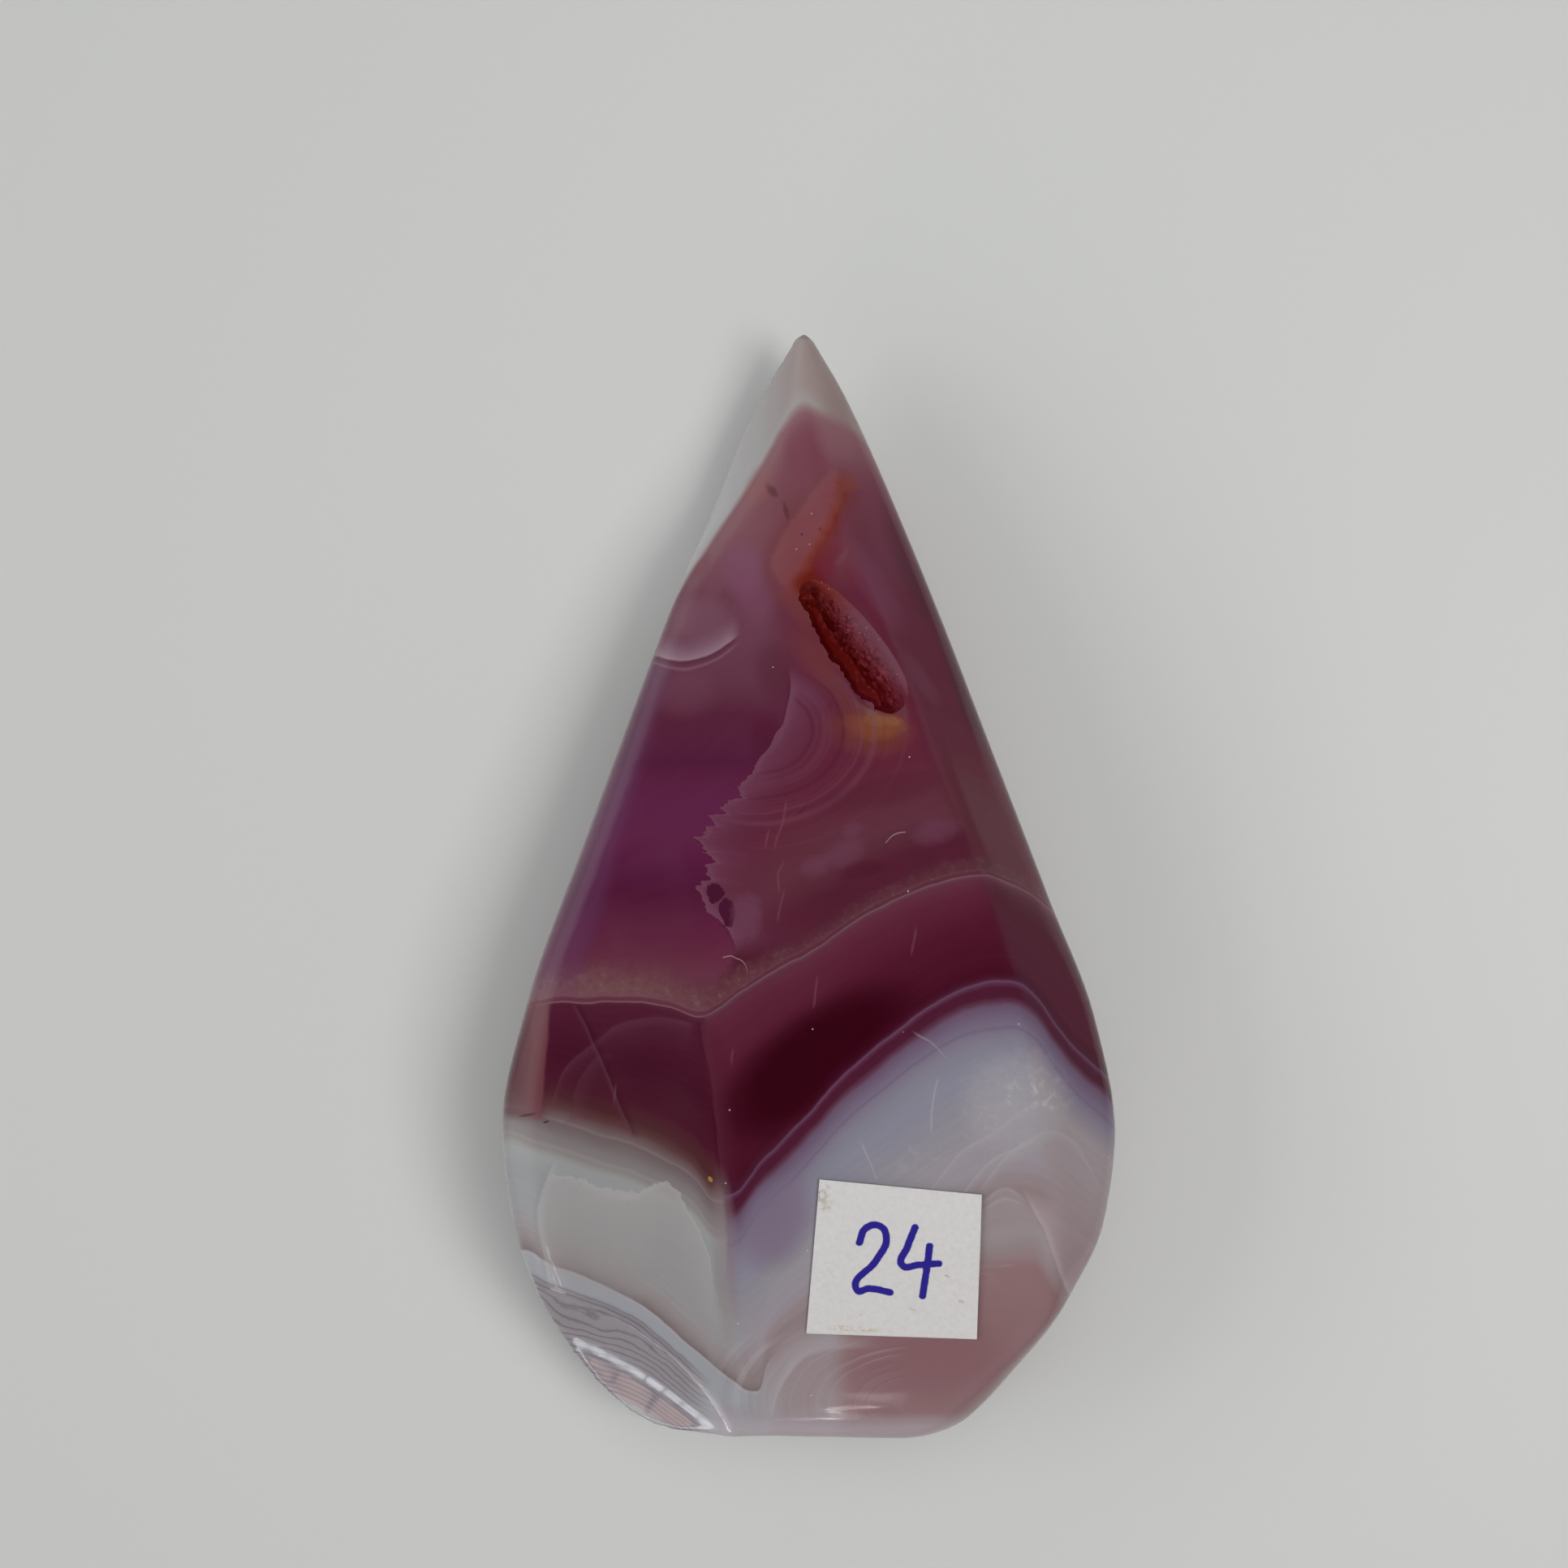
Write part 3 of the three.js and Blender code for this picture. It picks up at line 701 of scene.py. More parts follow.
LOWER_SEAM += [(-7.3, -25.8), (-6.7, -25.8), (-3.7, -23.1), (-0.7, -20.5), (2.9, -17), (6.8, -14.2)]
LOWER_SEAM += [(10.1, -12.1), (13.3, -11), (15.8, -10.8), (17.8, -11.4), (19.9, -13.6), (22, -15.4)]
LOWER_SEAM += [(24.3, -16.5), (26, -17.3)]
BASE_SEAM = [(-26, -29.0), (-23.5, -30.0), (-21.1, -31.6), (-18.1, -32.6), (-15.5, -33.5), (-12.8, -34.9)]
BASE_SEAM += [(-9.0, -37.9), (-6.4, -39.6), (-4.6, -40.6), (-3.9, -40.4), (-3.3, -38.6), (-1.3, -36.5)]
BASE_SEAM += [(0.3, -35.7), (6, -33), (12, -29.5), (16, -28), (20, -28.8), (26, -31)]
FOOT = -48.0

cap_line = add_node(tree, "FloatCurve", {"Value": across}, points=CAP_SEAM)
upper_line = add_node(tree, "FloatCurve", {"Value": across}, points=UPPER_SEAM)
lower_line = add_node(tree, "FloatCurve", {"Value": across}, points=LOWER_SEAM)
base_line = add_node(tree, "FloatCurve", {"Value": across}, points=BASE_SEAM)
seams = [cap_line, upper_line, lower_line, base_line, FOOT]
growth = None
for start, end in zip(seams, seams[1:]):
    gone = add_node(tree, "Math", [start, layer_height], operation="SUBTRACT")
    whole = add_node(tree, "Math", [start, end], operation="SUBTRACT")
    share = add_node(tree, "Math", [gone, whole], operation="DIVIDE")
    share = add_node(tree, "Math", [share, 0.0], operation="MAXIMUM")
    share = add_node(tree, "Math", [share, 1.0], operation="MINIMUM")
    growth = share if growth is None else add_node(tree, "Math", [growth, share], operation="ADD")
over_cap = add_node(tree, "Math", [layer_height, cap_line], operation="SUBTRACT")
over_upper = add_node(tree, "Math", [layer_height, upper_line], operation="SUBTRACT")
under_lower = add_node(tree, "Math", [lower_line, layer_height], operation="SUBTRACT")
under_base = add_node(tree, "Math", [base_line, layer_height], operation="SUBTRACT")
print("nodes so far:", len(tree.nodes))

# %% [markdown]
# The layers look different on the three facets of the front, because each facet cuts and
# mirrors them at its own angle. So three runs of colour are laid out, and lines drawn
# along the stone say where one takes over from the next.

# %% Broad colours
LEFT_HEIGHT_SHADES = [
    (-12.0, "#5c2b42"),
    (-10.0, "#5c2b40"),
    (-7.4, "#663245"),
    (-6.0, "#63293f"),
    (-3.4, "#5c1f3d"),
    (-0.8, "#521635"),
    (0.6, "#54183b"),
    (1.9, "#5a1c40"),
    (4.0, "#5f2346"),
    (6.5, "#5e2246"),
    (8.6, "#5a2040"),
    (9.9, "#521a39"),
    (11.2, "#561f3b"),
    (13.9, "#572139"),
    (16.6, "#623547"),
    (20.0, "#693d4e"),
    (24.0, "#693a4a"),
    (26.5, "#744955"),
    (30.0, "#7c5058"),
]
LEFT_SHADES = [
    (1.0, "plum"),
    (1.03, "#501b30"),
    (1.25, "#4a152a"),
    (1.45, "#441026"),
    (1.75, "#491728"),
    (2.0, "taupe"),
    (2.2, "warm grey"),
    (2.34, "#8e9193"),
    (2.7, "#8f9193"),
    (2.86, "#918c8e"),
    (2.96, "pale mauve"),
    (3.01, "#979aa0"),
    (4.0, "#8b8c91"),
]
MIDDLE_SHADES = [
    (0.0, "dusty rose"),
    (0.1, "rose plum"),
    (0.2, "brick"),
    (0.3, "brick"),
    (0.38, "burgundy"),
    (0.46, "burgundy"),
    (0.6, "burgundy"),
    (0.72, "burgundy"),
    (0.86, "wine"),
    (0.92, "maroon"),
    (1.0, "maroon"),
    (1.06, "#5c2438"),
    (1.25, "#581e33"),
    (1.45, "#50152a"),
    (1.7, "#4a1025"),
    (1.93, "#460e22"),
    (2.08, "dim lilac"),
    (2.2, "blue grey"),
    (2.4, "#828090"),
    (2.6, "#8b878f"),
    (2.8, "#928b92"),
    (2.94, "dusty mauve"),
    (3.1, "pale mauve"),
    (3.5, "#9a979c"),
    (4.0, "#aaa5aa"),
]
RIGHT_SHADES = [
    (0.0, "dusty rose"),
    (0.1, "rose plum"),
    (0.19, "#6a2a3c"),
    (0.27, "#602438"),
    (0.5, "#5b2134"),
    (0.7, "#5b2334"),
    (0.9, "#572230"),
    (1.0, "#5c2736"),
    (1.1, "#4d1a2a"),
    (1.4, "#501c2e"),
    (1.7, "#501a2e"),
    (1.93, "#4f1b30"),
    (2.04, "dim lilac"),
    (2.12, "mauve"),
    (2.25, "#8a8288"),
    (2.5, "#968c90"),
    (2.8, "#95888c"),
    (3.05, "#8c7779"),
    (3.15, "rose grey"),
    (3.8, "rose grey"),
    (4.0, "pale mauve"),
]
FACET_BORDER = [(-3.4, -48), (-5.4, -39.3), (-6.4, -34.3), (-7.0, -25.3), (-8.5, -10.8)]
FACET_BORDER += [(-5.9, -4.9), (-6.3, -4.1), (-7.3, -3.1), (-8.0, -2.5), (-8.5, -1.4)]
FACET_BORDER += [(-8.7, 0.0), (-8.3, 0.8), (-7.9, 2.2), (-8.8, 3.0), (-8.7, 3.9), (-7.7, 5.1)]
FACET_BORDER += [(-6.8, 6.1), (-5.7, 7.6), (-4.6, 9.2), (-3.7, 10.6), (-3.0, 11.5), (-2.7, 12.3)]
FACET_BORDER += [(-2.1, 13.0), (-1.6, 14.7), (-1.3, 16.6), (-2.0, 20), (-3, 27), (-3, 40), (-1, 47)]
BORDER_SOFTNESS = [(-48, 0.3), (-12, 0.3), (-8, 0.8), (-5, 0.12), (9, 0.12), (11.5, 0.3)]
BORDER_SOFTNESS += [(14, 0.8), (17, 1.8), (30, 3.0), (47, 3.0)]
BORDER_RAGGED = [(-48, 0.2), (-8, 0.3), (-5, 0.6), (6, 0.6), (10, 0.4)]
BORDER_RAGGED += [(12, 0.12), (17, 0.05), (47, 0.05)]
TONGUE_LENGTH = [(-48, 0.0), (-1.5, 0.0), (0.5, 3.0), (6.5, 4.0), (9.0, 1.5), (10.5, 0.0), (47, 0.0)]
RING_MIDDLE = (-4.1, 12.6)

rings = rings_round(RING_MIDDLE, (1.25, 1.0))
ring_noise = add_node(tree, "TexNoise", {"W": rings, "Scale": 1.0, "Detail": 2.0}, noise_dimensions="1D")
left_upper, _ = colour_run(along, LEFT_HEIGHT_SHADES)
left_lower, _ = colour_run(growth, LEFT_SHADES)
under_seam = add_node(tree, "MapRange", [growth, 0.985, 1.0], **SMOOTH)
left_colour = add_node(tree, "MixRGB", [under_seam, left_upper, left_lower])
middle_colour, _ = colour_run(growth, MIDDLE_SHADES)
right_colour, _ = colour_run(growth, RIGHT_SHADES)
border_line = add_node(tree, "FloatCurve", {"Value": along}, points=upright_line(FACET_BORDER))
border_gap = add_node(tree, "Math", [across, border_line], operation="SUBTRACT")
# Between about -5 and 17 mm along, the border's broken edge and tongues are also the edge of the painted
# reflection in the middle.
raggedness = add_node(tree, "FloatCurve", {"Value": along}, points=BORDER_RAGGED)
border_gap = add_node(tree, "Math", [jagged, raggedness, border_gap], operation="MULTIPLY_ADD")
tongue_length = add_node(tree, "FloatCurve", {"Value": along}, points=TONGUE_LENGTH)
tongue = add_node(tree, "Math", [ring_noise, 0.5], operation="SUBTRACT")
border_gap = add_node(tree, "Math", [tongue, tongue_length, border_gap], operation="MULTIPLY_ADD")
border_softness = add_node(tree, "FloatCurve", {"Value": along}, points=BORDER_SOFTNESS)
border_share = add_node(tree, "Math", [border_gap, border_softness], operation="DIVIDE")
border_share = add_node(tree, "MapRange", [border_share, -1.0, 1.0], **SMOOTH)
ridge_line = add_node(tree, "FloatCurve", {"Value": along}, points=RIDGE)
ridge_gap = add_node(tree, "Math", [across, ridge_line], operation="SUBTRACT")
ridge_share = add_node(tree, "MapRange", [ridge_gap, -0.8, 0.8], **SMOOTH)
colour = add_node(tree, "MixRGB", [border_share, left_colour, middle_colour])
colour = add_node(tree, "MixRGB", [ridge_share, colour, right_colour])
left_share = add_node(tree, "Math", [1.0, border_share], operation="SUBTRACT")

# %% [markdown]
# Fine growth bands go through the whole stone. They are a noise along the growth only, so
# they follow the seams, and they lighten the colour a little. They are stronger in the
# pale layers, where more light comes back. The maroon layer has a darker core in the
# middle of the stone.

# %% Fine growth bands
BANDS_PER_STEP = 24.0
BAND_STRENGTH = [(0.0, 0.008), (1.0, 0.006), (1.9, 0.006), (2.2, 0.08), (4.0, 0.12)]

band_place = add_node(tree, "Math", [growth, BANDS_PER_STEP], operation="MULTIPLY")
bands = add_node(tree, "TexNoise", {"W": band_place, "Scale": 1.0, "Detail": 2.0}, noise_dimensions="1D")
slow = add_node(tree, "TexNoise", {"Vector": in_mm, "Scale": 0.14, "Detail": 2.0})
band_level = add_node(tree, "FloatCurve", {"Value": growth}, points=BAND_STRENGTH)
band_level = add_node(tree, "Math", [band_level, slow], operation="MULTIPLY")
band_share = add_node(tree, "MapRange", [bands, 0.4, 0.62], **SMOOTH)
band_share = add_node(tree, "Math", [band_share, band_level], operation="MULTIPLY")
colour = add_node(tree, "MixRGB", [band_share, colour, linear(STONE_COLOURS["frost"])])
colour = soft_spot(colour, "#32000f", (0.8, -14.4), (11.5, 4.8), 37, 0.95, 0.2)

# %% [markdown]
# Over the upper seam lies a zone of fine brown specks. The seam itself is a fine pale line
# with a glow under it on the right of the stone, and a dark and a pale line on the left.

# %% Upper seam
SPECK_DEPTH = [(-26, 3.1), (-12, 2.8), (-7, 2.3), (-2, 1.7), (5, 1.5), (14, 1.7), (26, 2.0)]
SPECK_TINTS = [(-24, "#755058"), (-14, "#714c4c"), (-6, "#643c42"), (0, "#57303a"), (20, "#5b333c")]
UPPER_RIGHT_SHADES = [
    (-2.2, "burgundy", 0.0),
    (-0.5, "plum", 0.3),
    (-0.16, "#6b4655", 0.5),
    (0.0, "#7c5f6e", 0.65),
    (0.14, "wine", 0.5),
    (0.35, "wine", 0.4),
    (0.48, "#74444a", 0.4),
    (0.62, "wine", 0.2),
    (0.9, "wine", 0.0),
]
UPPER_LEFT_SHADES = [
    (-0.5, "maroon", 0.0),
    (-0.12, "dark maroon", 0.7),
    (0.0, "dusty rose", 0.75),
    (0.12, "wine", 0.8),
    (0.35, "wine", 0.8),
    (0.5, "violet plum", 0.5),
    (0.7, "violet plum", 0.2),
    (1.1, "plum", 0.0),
]

speck_depth = add_node(tree, "FloatCurve", {"Value": across}, points=SPECK_DEPTH)
speck_height = add_node(tree, "Math", [over_upper, speck_depth], operation="DIVIDE")
speck_height = add_node(tree, "Math", [jagged, 0.6, speck_height], operation="MULTIPLY_ADD")
speck_tint, _ = colour_run(across, SPECK_TINTS)
dots = add_node(tree, "TexNoise", {"Vector": in_mm, "Scale": 1.7, "Detail": 4.0, "Roughness": 0.7})
dot_light = add_node(tree, "MapRange", [dots, 0.5, 0.75, 0.0, 0.24], **SMOOTH)
dot_dark = add_node(tree, "MapRange", [dots, 0.46, 0.3, 0.0, 0.3], **SMOOTH)
speck_tint = add_node(tree, "MixRGB", [dot_light, speck_tint, linear(STONE_COLOURS["pale mauve"])])
speck_tint = add_node(tree, "MixRGB", [dot_dark, speck_tint, linear(STONE_COLOURS["dark maroon"])])
speck_share = add_node(tree, "MapRange", [speck_height, 1.3, 0.3, 0.0, 0.85], **SMOOTH)
speck_floor = add_node(tree, "MapRange", [over_upper, 0.0, 0.4], **SMOOTH)
speck_share = add_node(tree, "Math", [speck_share, speck_floor], operation="MULTIPLY")
colour = add_node(tree, "MixRGB", [speck_share, colour, speck_tint])
colour = laid_run(colour, over_upper, UPPER_RIGHT_SHADES, border_share)
colour = laid_run(colour, over_upper, UPPER_LEFT_SHADES, left_share)

# %% [markdown]
# At the lower seam the maroon fades into grey on the left, over several millimetres. In
# the middle it ends in a fine line, a second maroon band and then a lilac edge.

# %% Lower seam and last seam
LOWER_LEFT_SHADES = [
    (-3.4, "maroon", 0.0),
    (-1.6, "#4a2429", 0.7),
    (-0.65, "taupe", 0.95),
    (0.2, "#6e5d60", 1.0),
    (0.42, "#796c6e", 1.0),
    (0.62, "#6e5f61", 1.0),
    (1.2, "#74686a", 1.0),
    (1.8, "#7d7576", 1.0),
    (2.4, "#827b7c", 1.0),
    (2.6, "#8b8586", 1.0),
    (2.9, "#87817f", 1.0),
    (3.6, "ash", 0.8),
    (5.0, "ash", 0.0),
]
LOWER_MIDDLE_SHADES = [
    (-1.6, "garnet", 0.0),
    (-0.4, "#400a20", 0.7),
    (-0.15, "#4a1c34", 0.9),
    (0.0, "#64435a", 0.95),
    (0.2, "#562c45", 0.95),
    (0.5, "#4c192e", 1.0),
    (1.2, "#4a1b30", 1.0),
    (1.6, "#5a3448", 1.0),
    (2.0, "#654f66", 1.0),
    (2.6, "#6c5b71", 1.0),
    (3.5, "#73687e", 1.0),
    (3.72, "#6e6175", 1.0),
    (3.95, "#786e81", 1.0),
    (7.0, "#817c8a", 0.0),
]
BASE_SEAM_SHADES = [
    (-2.2, "#8a8080", 0.0),
    (-0.9, "#847a7a", 0.6),
    (-0.3, "#776b6b", 0.85),
    (-0.1, "#6e6162", 0.9),
    (0.06, "#a59da0", 0.85),
    (0.3, "#97989f", 0.8),
    (3.0, "#979aa0", 0.0),
]

colour = laid_run(colour, under_lower, LOWER_MIDDLE_SHADES, border_share)
colour = laid_run(colour, under_lower, LOWER_LEFT_SHADES, left_share)
base_fade = add_node(tree, "MapRange", [across, -2.5, -4.5], **SMOOTH)
colour = laid_run(colour, under_base, BASE_SEAM_SHADES, base_fade)

# %% [markdown]
# The tip is pale chalcedony, greyer on the left and beige on the right. A paler fringe
# hugs the seam under it.

# %% Cap of the tip
CAP_SHADES = [(-10, "#aeabad"), (-4.5, "#a49fa1"), (-1.5, "#978b8a"), (0.5, "#958582"), (3, "#8c7977")]
CAP_EDGE = [(-0.8, "dusty rose", 0.0), (0.0, "dusty rose", 0.5), (0.5, "dusty mauve", 0.0)]
FRINGE_SHADES = [(0.1, "ash", 0.0), (0.6, "#a19ca0", 0.5), (1.4, "#9e999d", 0.3), (2.4, "ash", 0.0)]

cap_tint, _ = colour_run(across, CAP_SHADES)
fringe_share = between(across, -12.0, 1.2, 1.6)
cap_tint = laid_run(cap_tint, over_cap, FRINGE_SHADES, fringe_share)
cap_share = add_node(tree, "MapRange", [over_cap, -0.9, 0.9], **SMOOTH)
colour = laid_run(colour, over_cap, CAP_EDGE)
colour = add_node(tree, "MixRGB", [cap_share, colour, cap_tint])
print("nodes so far:", len(tree.nodes))

# %% [markdown]
# What follows is only seen on the front, so it is drawn on a copy of the colour that is
# blended in where the surface faces up. Near the tip the rose core, the salmon wedge over
# the pocket, the iron streak in it and the amber under the pocket are drawn. A row in the
# tables of spots has a colour, a middle, two radii, a turn, a strength, and maybe a core
# and how ragged the edge is.

# %% Front of the stone near the tip
WEDGE_LEFT = [(1.6, 34.3), (1.2, 33.8), (-0.3, 31.8), (-1.6, 30.0), (-2.7, 28.0), (-3.2, 26.3)]
WEDGE_LEFT += [(-2.5, 25.1), (-1.1, 23.7)]
STREAK = [(2.9, 33.9), (3.1, 32.6), (2.4, 30.5), (1.3, 28.1), (0.5, 26.2), (0.0, 24.8)]
STREAK_WIDTH = [(24.0, 1.5), (26, 1.1), (28, 0.8), (30, 0.75), (32.5, 0.95), (34, 0.6)]
WEDGE_SHADES = [
    (-1.0, "brick", 0.0),
    (-0.1, "#6c343f", 0.4),
    (0.4, "#80494a", 0.5),
    (1.2, "salmon", 0.55),
    (6.0, "salmon", 0.6),
]
STREAK_SHADES = [
    (-1.7, "salmon", 0.0),
    (-0.7, "#7a3027", 0.75),
    (0.0, "rust", 0.9),
    (0.6, "#6c2429", 0.75),
    (1.9, "burgundy", 0.0),
]
SPOTS_UNDER_WEDGE = [
    ("#713547", (-0.2, 36.2), (2.3, 3.4), 0, 0.75),
    ("#8a6068", (2.3, 37.2), (2.0, 3.0), 25, 0.3),
    ("#84504f", (-4.0, 33.4), (1.5, 2.2), -20, 0.45),
    ("#673246", (6.6, 29.5), (2.8, 7.0), 20, 0.6),
    ("#48202e", (8.9, 25.5), (1.6, 8.0), 22, 0.6),
    ("#43242f", (13.6, 15.5), (1.9, 8.0), 21, 0.7),
]
SPOTS_OVER_WEDGE = [
    ("#7c3a30", (3.5, 33.4), (1.3, 1.0), -30, 0.6, 0, 0.5),
    ("#6a1c2e", (1.6, 26.3), (1.3, 2.6), -25, 0.6),
    ("#66180c", (0.3, 24.4), (1.9, 1.7), -30, 0.9, 0, 0.4),
    ("#4e2028", (-3.0, 32.8), (0.4, 0.9), 35, 0.6, 0, 0.6),
    ("#4e2028", (-1.8, 31.0), (0.3, 1.0), 12, 0.6, 0, 0.6),
    ("night", (-0.5, 28.9), (0.16, 0.12), 30, 0.7, 0, 0.4),
    ("night", (1.0, 29.3), (0.16, 0.12), 30, 0.7, 0, 0.4),
    ("#b98a8c", (-0.9, 27.6), (0.13, 0.09), 30, 0.7, 0, 0.5),
    ("#b98a8c", (0.2, 28.0), (0.13, 0.09), 30, 0.7, 0, 0.5),
    ("#b98a8c", (0.1, 24.0), (0.13, 0.09), 30, 0.7, 0, 0.5),
    ("#755066", (2.9, 26.9), (0.4, 1.2), -35, 0.25, 0, 0.5),
    ("#6c3850", (5.6, 24.5), (1.6, 5.5), 30, 0.5),
    ("#6c3f54", (9.3, 16.8), (0.9, 3.4), 32, 0.3),
]
SPOTS_ROUND_POCKET = [
    ("#743a3c", (-0.6, 22.6), (1.3, 3.0), 35, 0.6),
    ("#71383a", (1.0, 18.2), (1.7, 4.6), 35, 0.6),
    ("#6f362c", (4.9, 12.6), (4.4, 2.7), -8, 0.85, 0, 0.3),
    ("#703a30", (2.5, 15.6), (1.0, 3.2), 38, 0.55),
    ("amber", (5.4, 12.9), (3.0, 1.5), -5, 0.5, 0, 0.6),
    ("#8c5f3c", (6.1, 13.3), (1.8, 0.6), -5, 0.5, 0, 0.9),
]

side_colour = colour
for spot in SPOTS_UNDER_WEDGE:
    colour = soft_spot(colour, *spot)
wedge_left = add_node(tree, "FloatCurve", {"Value": along}, points=upright_line(WEDGE_LEFT))
streak_line = add_node(tree, "FloatCurve", {"Value": along}, points=upright_line(STREAK))
wedge_gap = add_node(tree, "Math", [across, wedge_left], operation="SUBTRACT")
wedge_gap = add_node(tree, "Math", [jagged, 0.5, wedge_gap], operation="MULTIPLY_ADD")
streak_gap = add_node(tree, "Math", [across, streak_line], operation="SUBTRACT")
wedge_end = between(along, 22.8, 34.4, 2.0)
wedge_right = add_node(tree, "MapRange", [streak_gap, 0.8, -0.5], **SMOOTH)
wedge_share = add_node(tree, "Math", [wedge_end, wedge_right], operation="MULTIPLY")
colour = laid_run(colour, wedge_gap, WEDGE_SHADES, wedge_share)
streak_width = add_node(tree, "FloatCurve", {"Value": along}, points=STREAK_WIDTH)
streak_gap = add_node(tree, "Math", [jagged, 0.7, streak_gap], operation="MULTIPLY_ADD")
streak_ratio = add_node(tree, "Math", [streak_gap, streak_width], operation="DIVIDE")
colour = laid_run(colour, streak_ratio, STREAK_SHADES, between(along, 23.6, 34.0, 1.6))
for spot in SPOTS_OVER_WEDGE + SPOTS_ROUND_POCKET:
    colour = soft_spot(colour, *spot)

# %% [markdown]
# On the upper left a pale violet haze and a crescent lie just under the polish: a bright
# lens, a fine dark line under it and a faint pale one below that. Along the rounded ground
# edge below them a violet painted sheen is drawn, for the pale light that this edge catches.

# %% Haze and crescent on the upper left
CRESCENT = [(-13.2, 18.75), (-12.6, 18.6), (-11.4, 18.25), (-10.1, 18.1), (-8.9, 18.35)]
CRESCENT += [(-7.7, 18.85), (-6.7, 19.5), (-6.0, 20.0)]
BEVEL = [(-10.6, 19.0), (-12.6, 12.7), (-14.6, 5.8), (-17.0, -3.1), (-18.6, -8.0)]
BEVEL_SHEEN_SHADES = [(-4.0, "#5c3856", 0.6), (-0.6, "#5f3557", 0.5), (0.5, "#5c3050", 0.0)]
CRESCENT_SHADES = [
    (-0.75, "plum", 0.0),
    (-0.5, "#84606f", 0.6),
    (-0.3, "plum", 0.5),
    (-0.1, "#5a3040", 0.9),
    (0.1, "#5a3040", 0.8),
    (0.25, "#907482", 0.95),
    (0.9, "#856877", 0.7),
    (2.2, "#7a5566", 0.0),
]
HAZE_SPOTS = [
    ("#7c4d66", (-5.4, 26.0), (2.2, 3.2), 10, 0.6),
    ("#784861", (-4.4, 23.6), (1.9, 3.2), 15, 0.45),
    ("#764f5f", (-8.6, 21.6), (3.0, 2.6), 0, 0.6),
    ("#774a5b", (-7.6, 24.6), (0.9, 2.8), -25, 0.4),
    ("#6d4356", (-6.3, 22.2), (0.3, 1.8), -15, 0.4),
    ("brick", (-8.9, 26.3), (0.7, 1.6), -38, 0.6),
    ("#7c5260", (-10.0, 15.5), (3.2, 2.4), 15, 0.2),
]

for spot in HAZE_SPOTS:
    colour = soft_spot(colour, *spot)
# Painted sheen: a violet strip along the rounded left edge.
colour = drawn_line(colour, BEVEL, BEVEL_SHEEN_SHADES, upright=True, soft=4.0)
colour = drawn_line(colour, CRESCENT, CRESCENT_SHADES, soft=1.2)
colour = soft_spot(colour, "maroon", (-2.6, 17.4), (2.2, 3.4), 20, 0.5)
colour = soft_spot(colour, "#4b132a", (-3.4, 11.9), (1.9, 2.2), 0, 0.55)

# %% [markdown]
# In the middle a pale veil is painted over the magenta as a reflection in the polish, with a
# paler rim. Its left edge is broken, and nested rings run through it, as the growth lines of
# an old hollow do. The rings are painted as lighter and darker steps.

# %% Painted reflection of a veil in the middle
VEIL_REFLECTION_SHADES = [
    (-0.3, "deep magenta", 0.0),
    (-0.1, "#47122f", 0.4),
    (0.02, "#74475c", 0.75),
    (0.3, "#6e4257", 0.8),
    (0.8, "#68384f", 0.75),
    (3.5, "#5d2a40", 0.45),
    (10.0, "burgundy", 0.0),
]
RING_REFLECTION_SHADES = [(0.32, "#4c172b", 0.65), (0.46, "burgundy", 0.0), (0.52, "plum", 0.0)]
RING_REFLECTION_SHADES += [(0.66, "#74495f", 0.6)]
VEIL_REFLECTION_SPOTS = [
    ("#47142f", (-7.6, -0.7), (0.8, 1.0), 10, 1.0, 0.8, 1.2),
    ("#47142f", (-6.6, -2.3), (0.6, 1.2), 10, 1.0, 0.8, 1.2),
    ("#6c4055", (-5.0, -2.6), (1.6, 2.4), 0, 0.6, 0, 0.6),
    ("#6c4055", (3.0, 2.6), (2.2, 1.4), 20, 0.45, 0, 0.5),
    ("#6c4055", (0.5, 1.5), (1.6, 1.2), 20, 0.45, 0, 0.5),
    ("#6c4055", (3.6, 4.4), (1.2, 0.8), 20, 0.45, 0, 0.5),
    ("#6c4055", (10.3, 4.4), (2.4, 1.3), 20, 0.45, 0, 0.5),
    ("dark maroon", (4.4, 1.2), (2.6, 0.8), 15, 0.5, 0, 0.4),
    ("#501a2e", (6.0, 7.5), (7.0, 1.6), 14, 0.4),
]

veil_reflection_window = between(along, -5.0, 17.0, 2.4)
# Painted reflection: a pale veil with a paler rim over the middle facet.
colour = laid_run(colour, border_gap, VEIL_REFLECTION_SHADES, veil_reflection_window)
ring_window = add_node(tree, "MapRange", [border_gap, 0.1, 0.8], **SMOOTH)
ring_fade = add_node(tree, "MapRange", [rings, 13.0, 3.0, 0.0, 0.8], **SMOOTH)
ring_reflection_share = add_node(tree, "Math", [ring_window, ring_fade], operation="MULTIPLY")
ring_reflection_share = add_node(tree, "Math", [ring_reflection_share, veil_reflection_window], operation="MULTIPLY")
# Painted rings of lighter and darker steps in that reflection.
colour = laid_run(colour, ring_noise, RING_REFLECTION_SHADES, ring_reflection_share)
# Dark holes and pale lobes in the painted reflection.
for spot in VEIL_REFLECTION_SPOTS:
    colour = soft_spot(colour, *spot)

# %% [markdown]
# Under the upper seam old cracks, healed long ago, draw arches, and a rose strip at the left
# edge is a painted reflection. Down the valley between the facets runs a fine line of painted
# shade with a paler strip beside it, and two dark chips and an amber grain lie at its foot and
# at the edge.

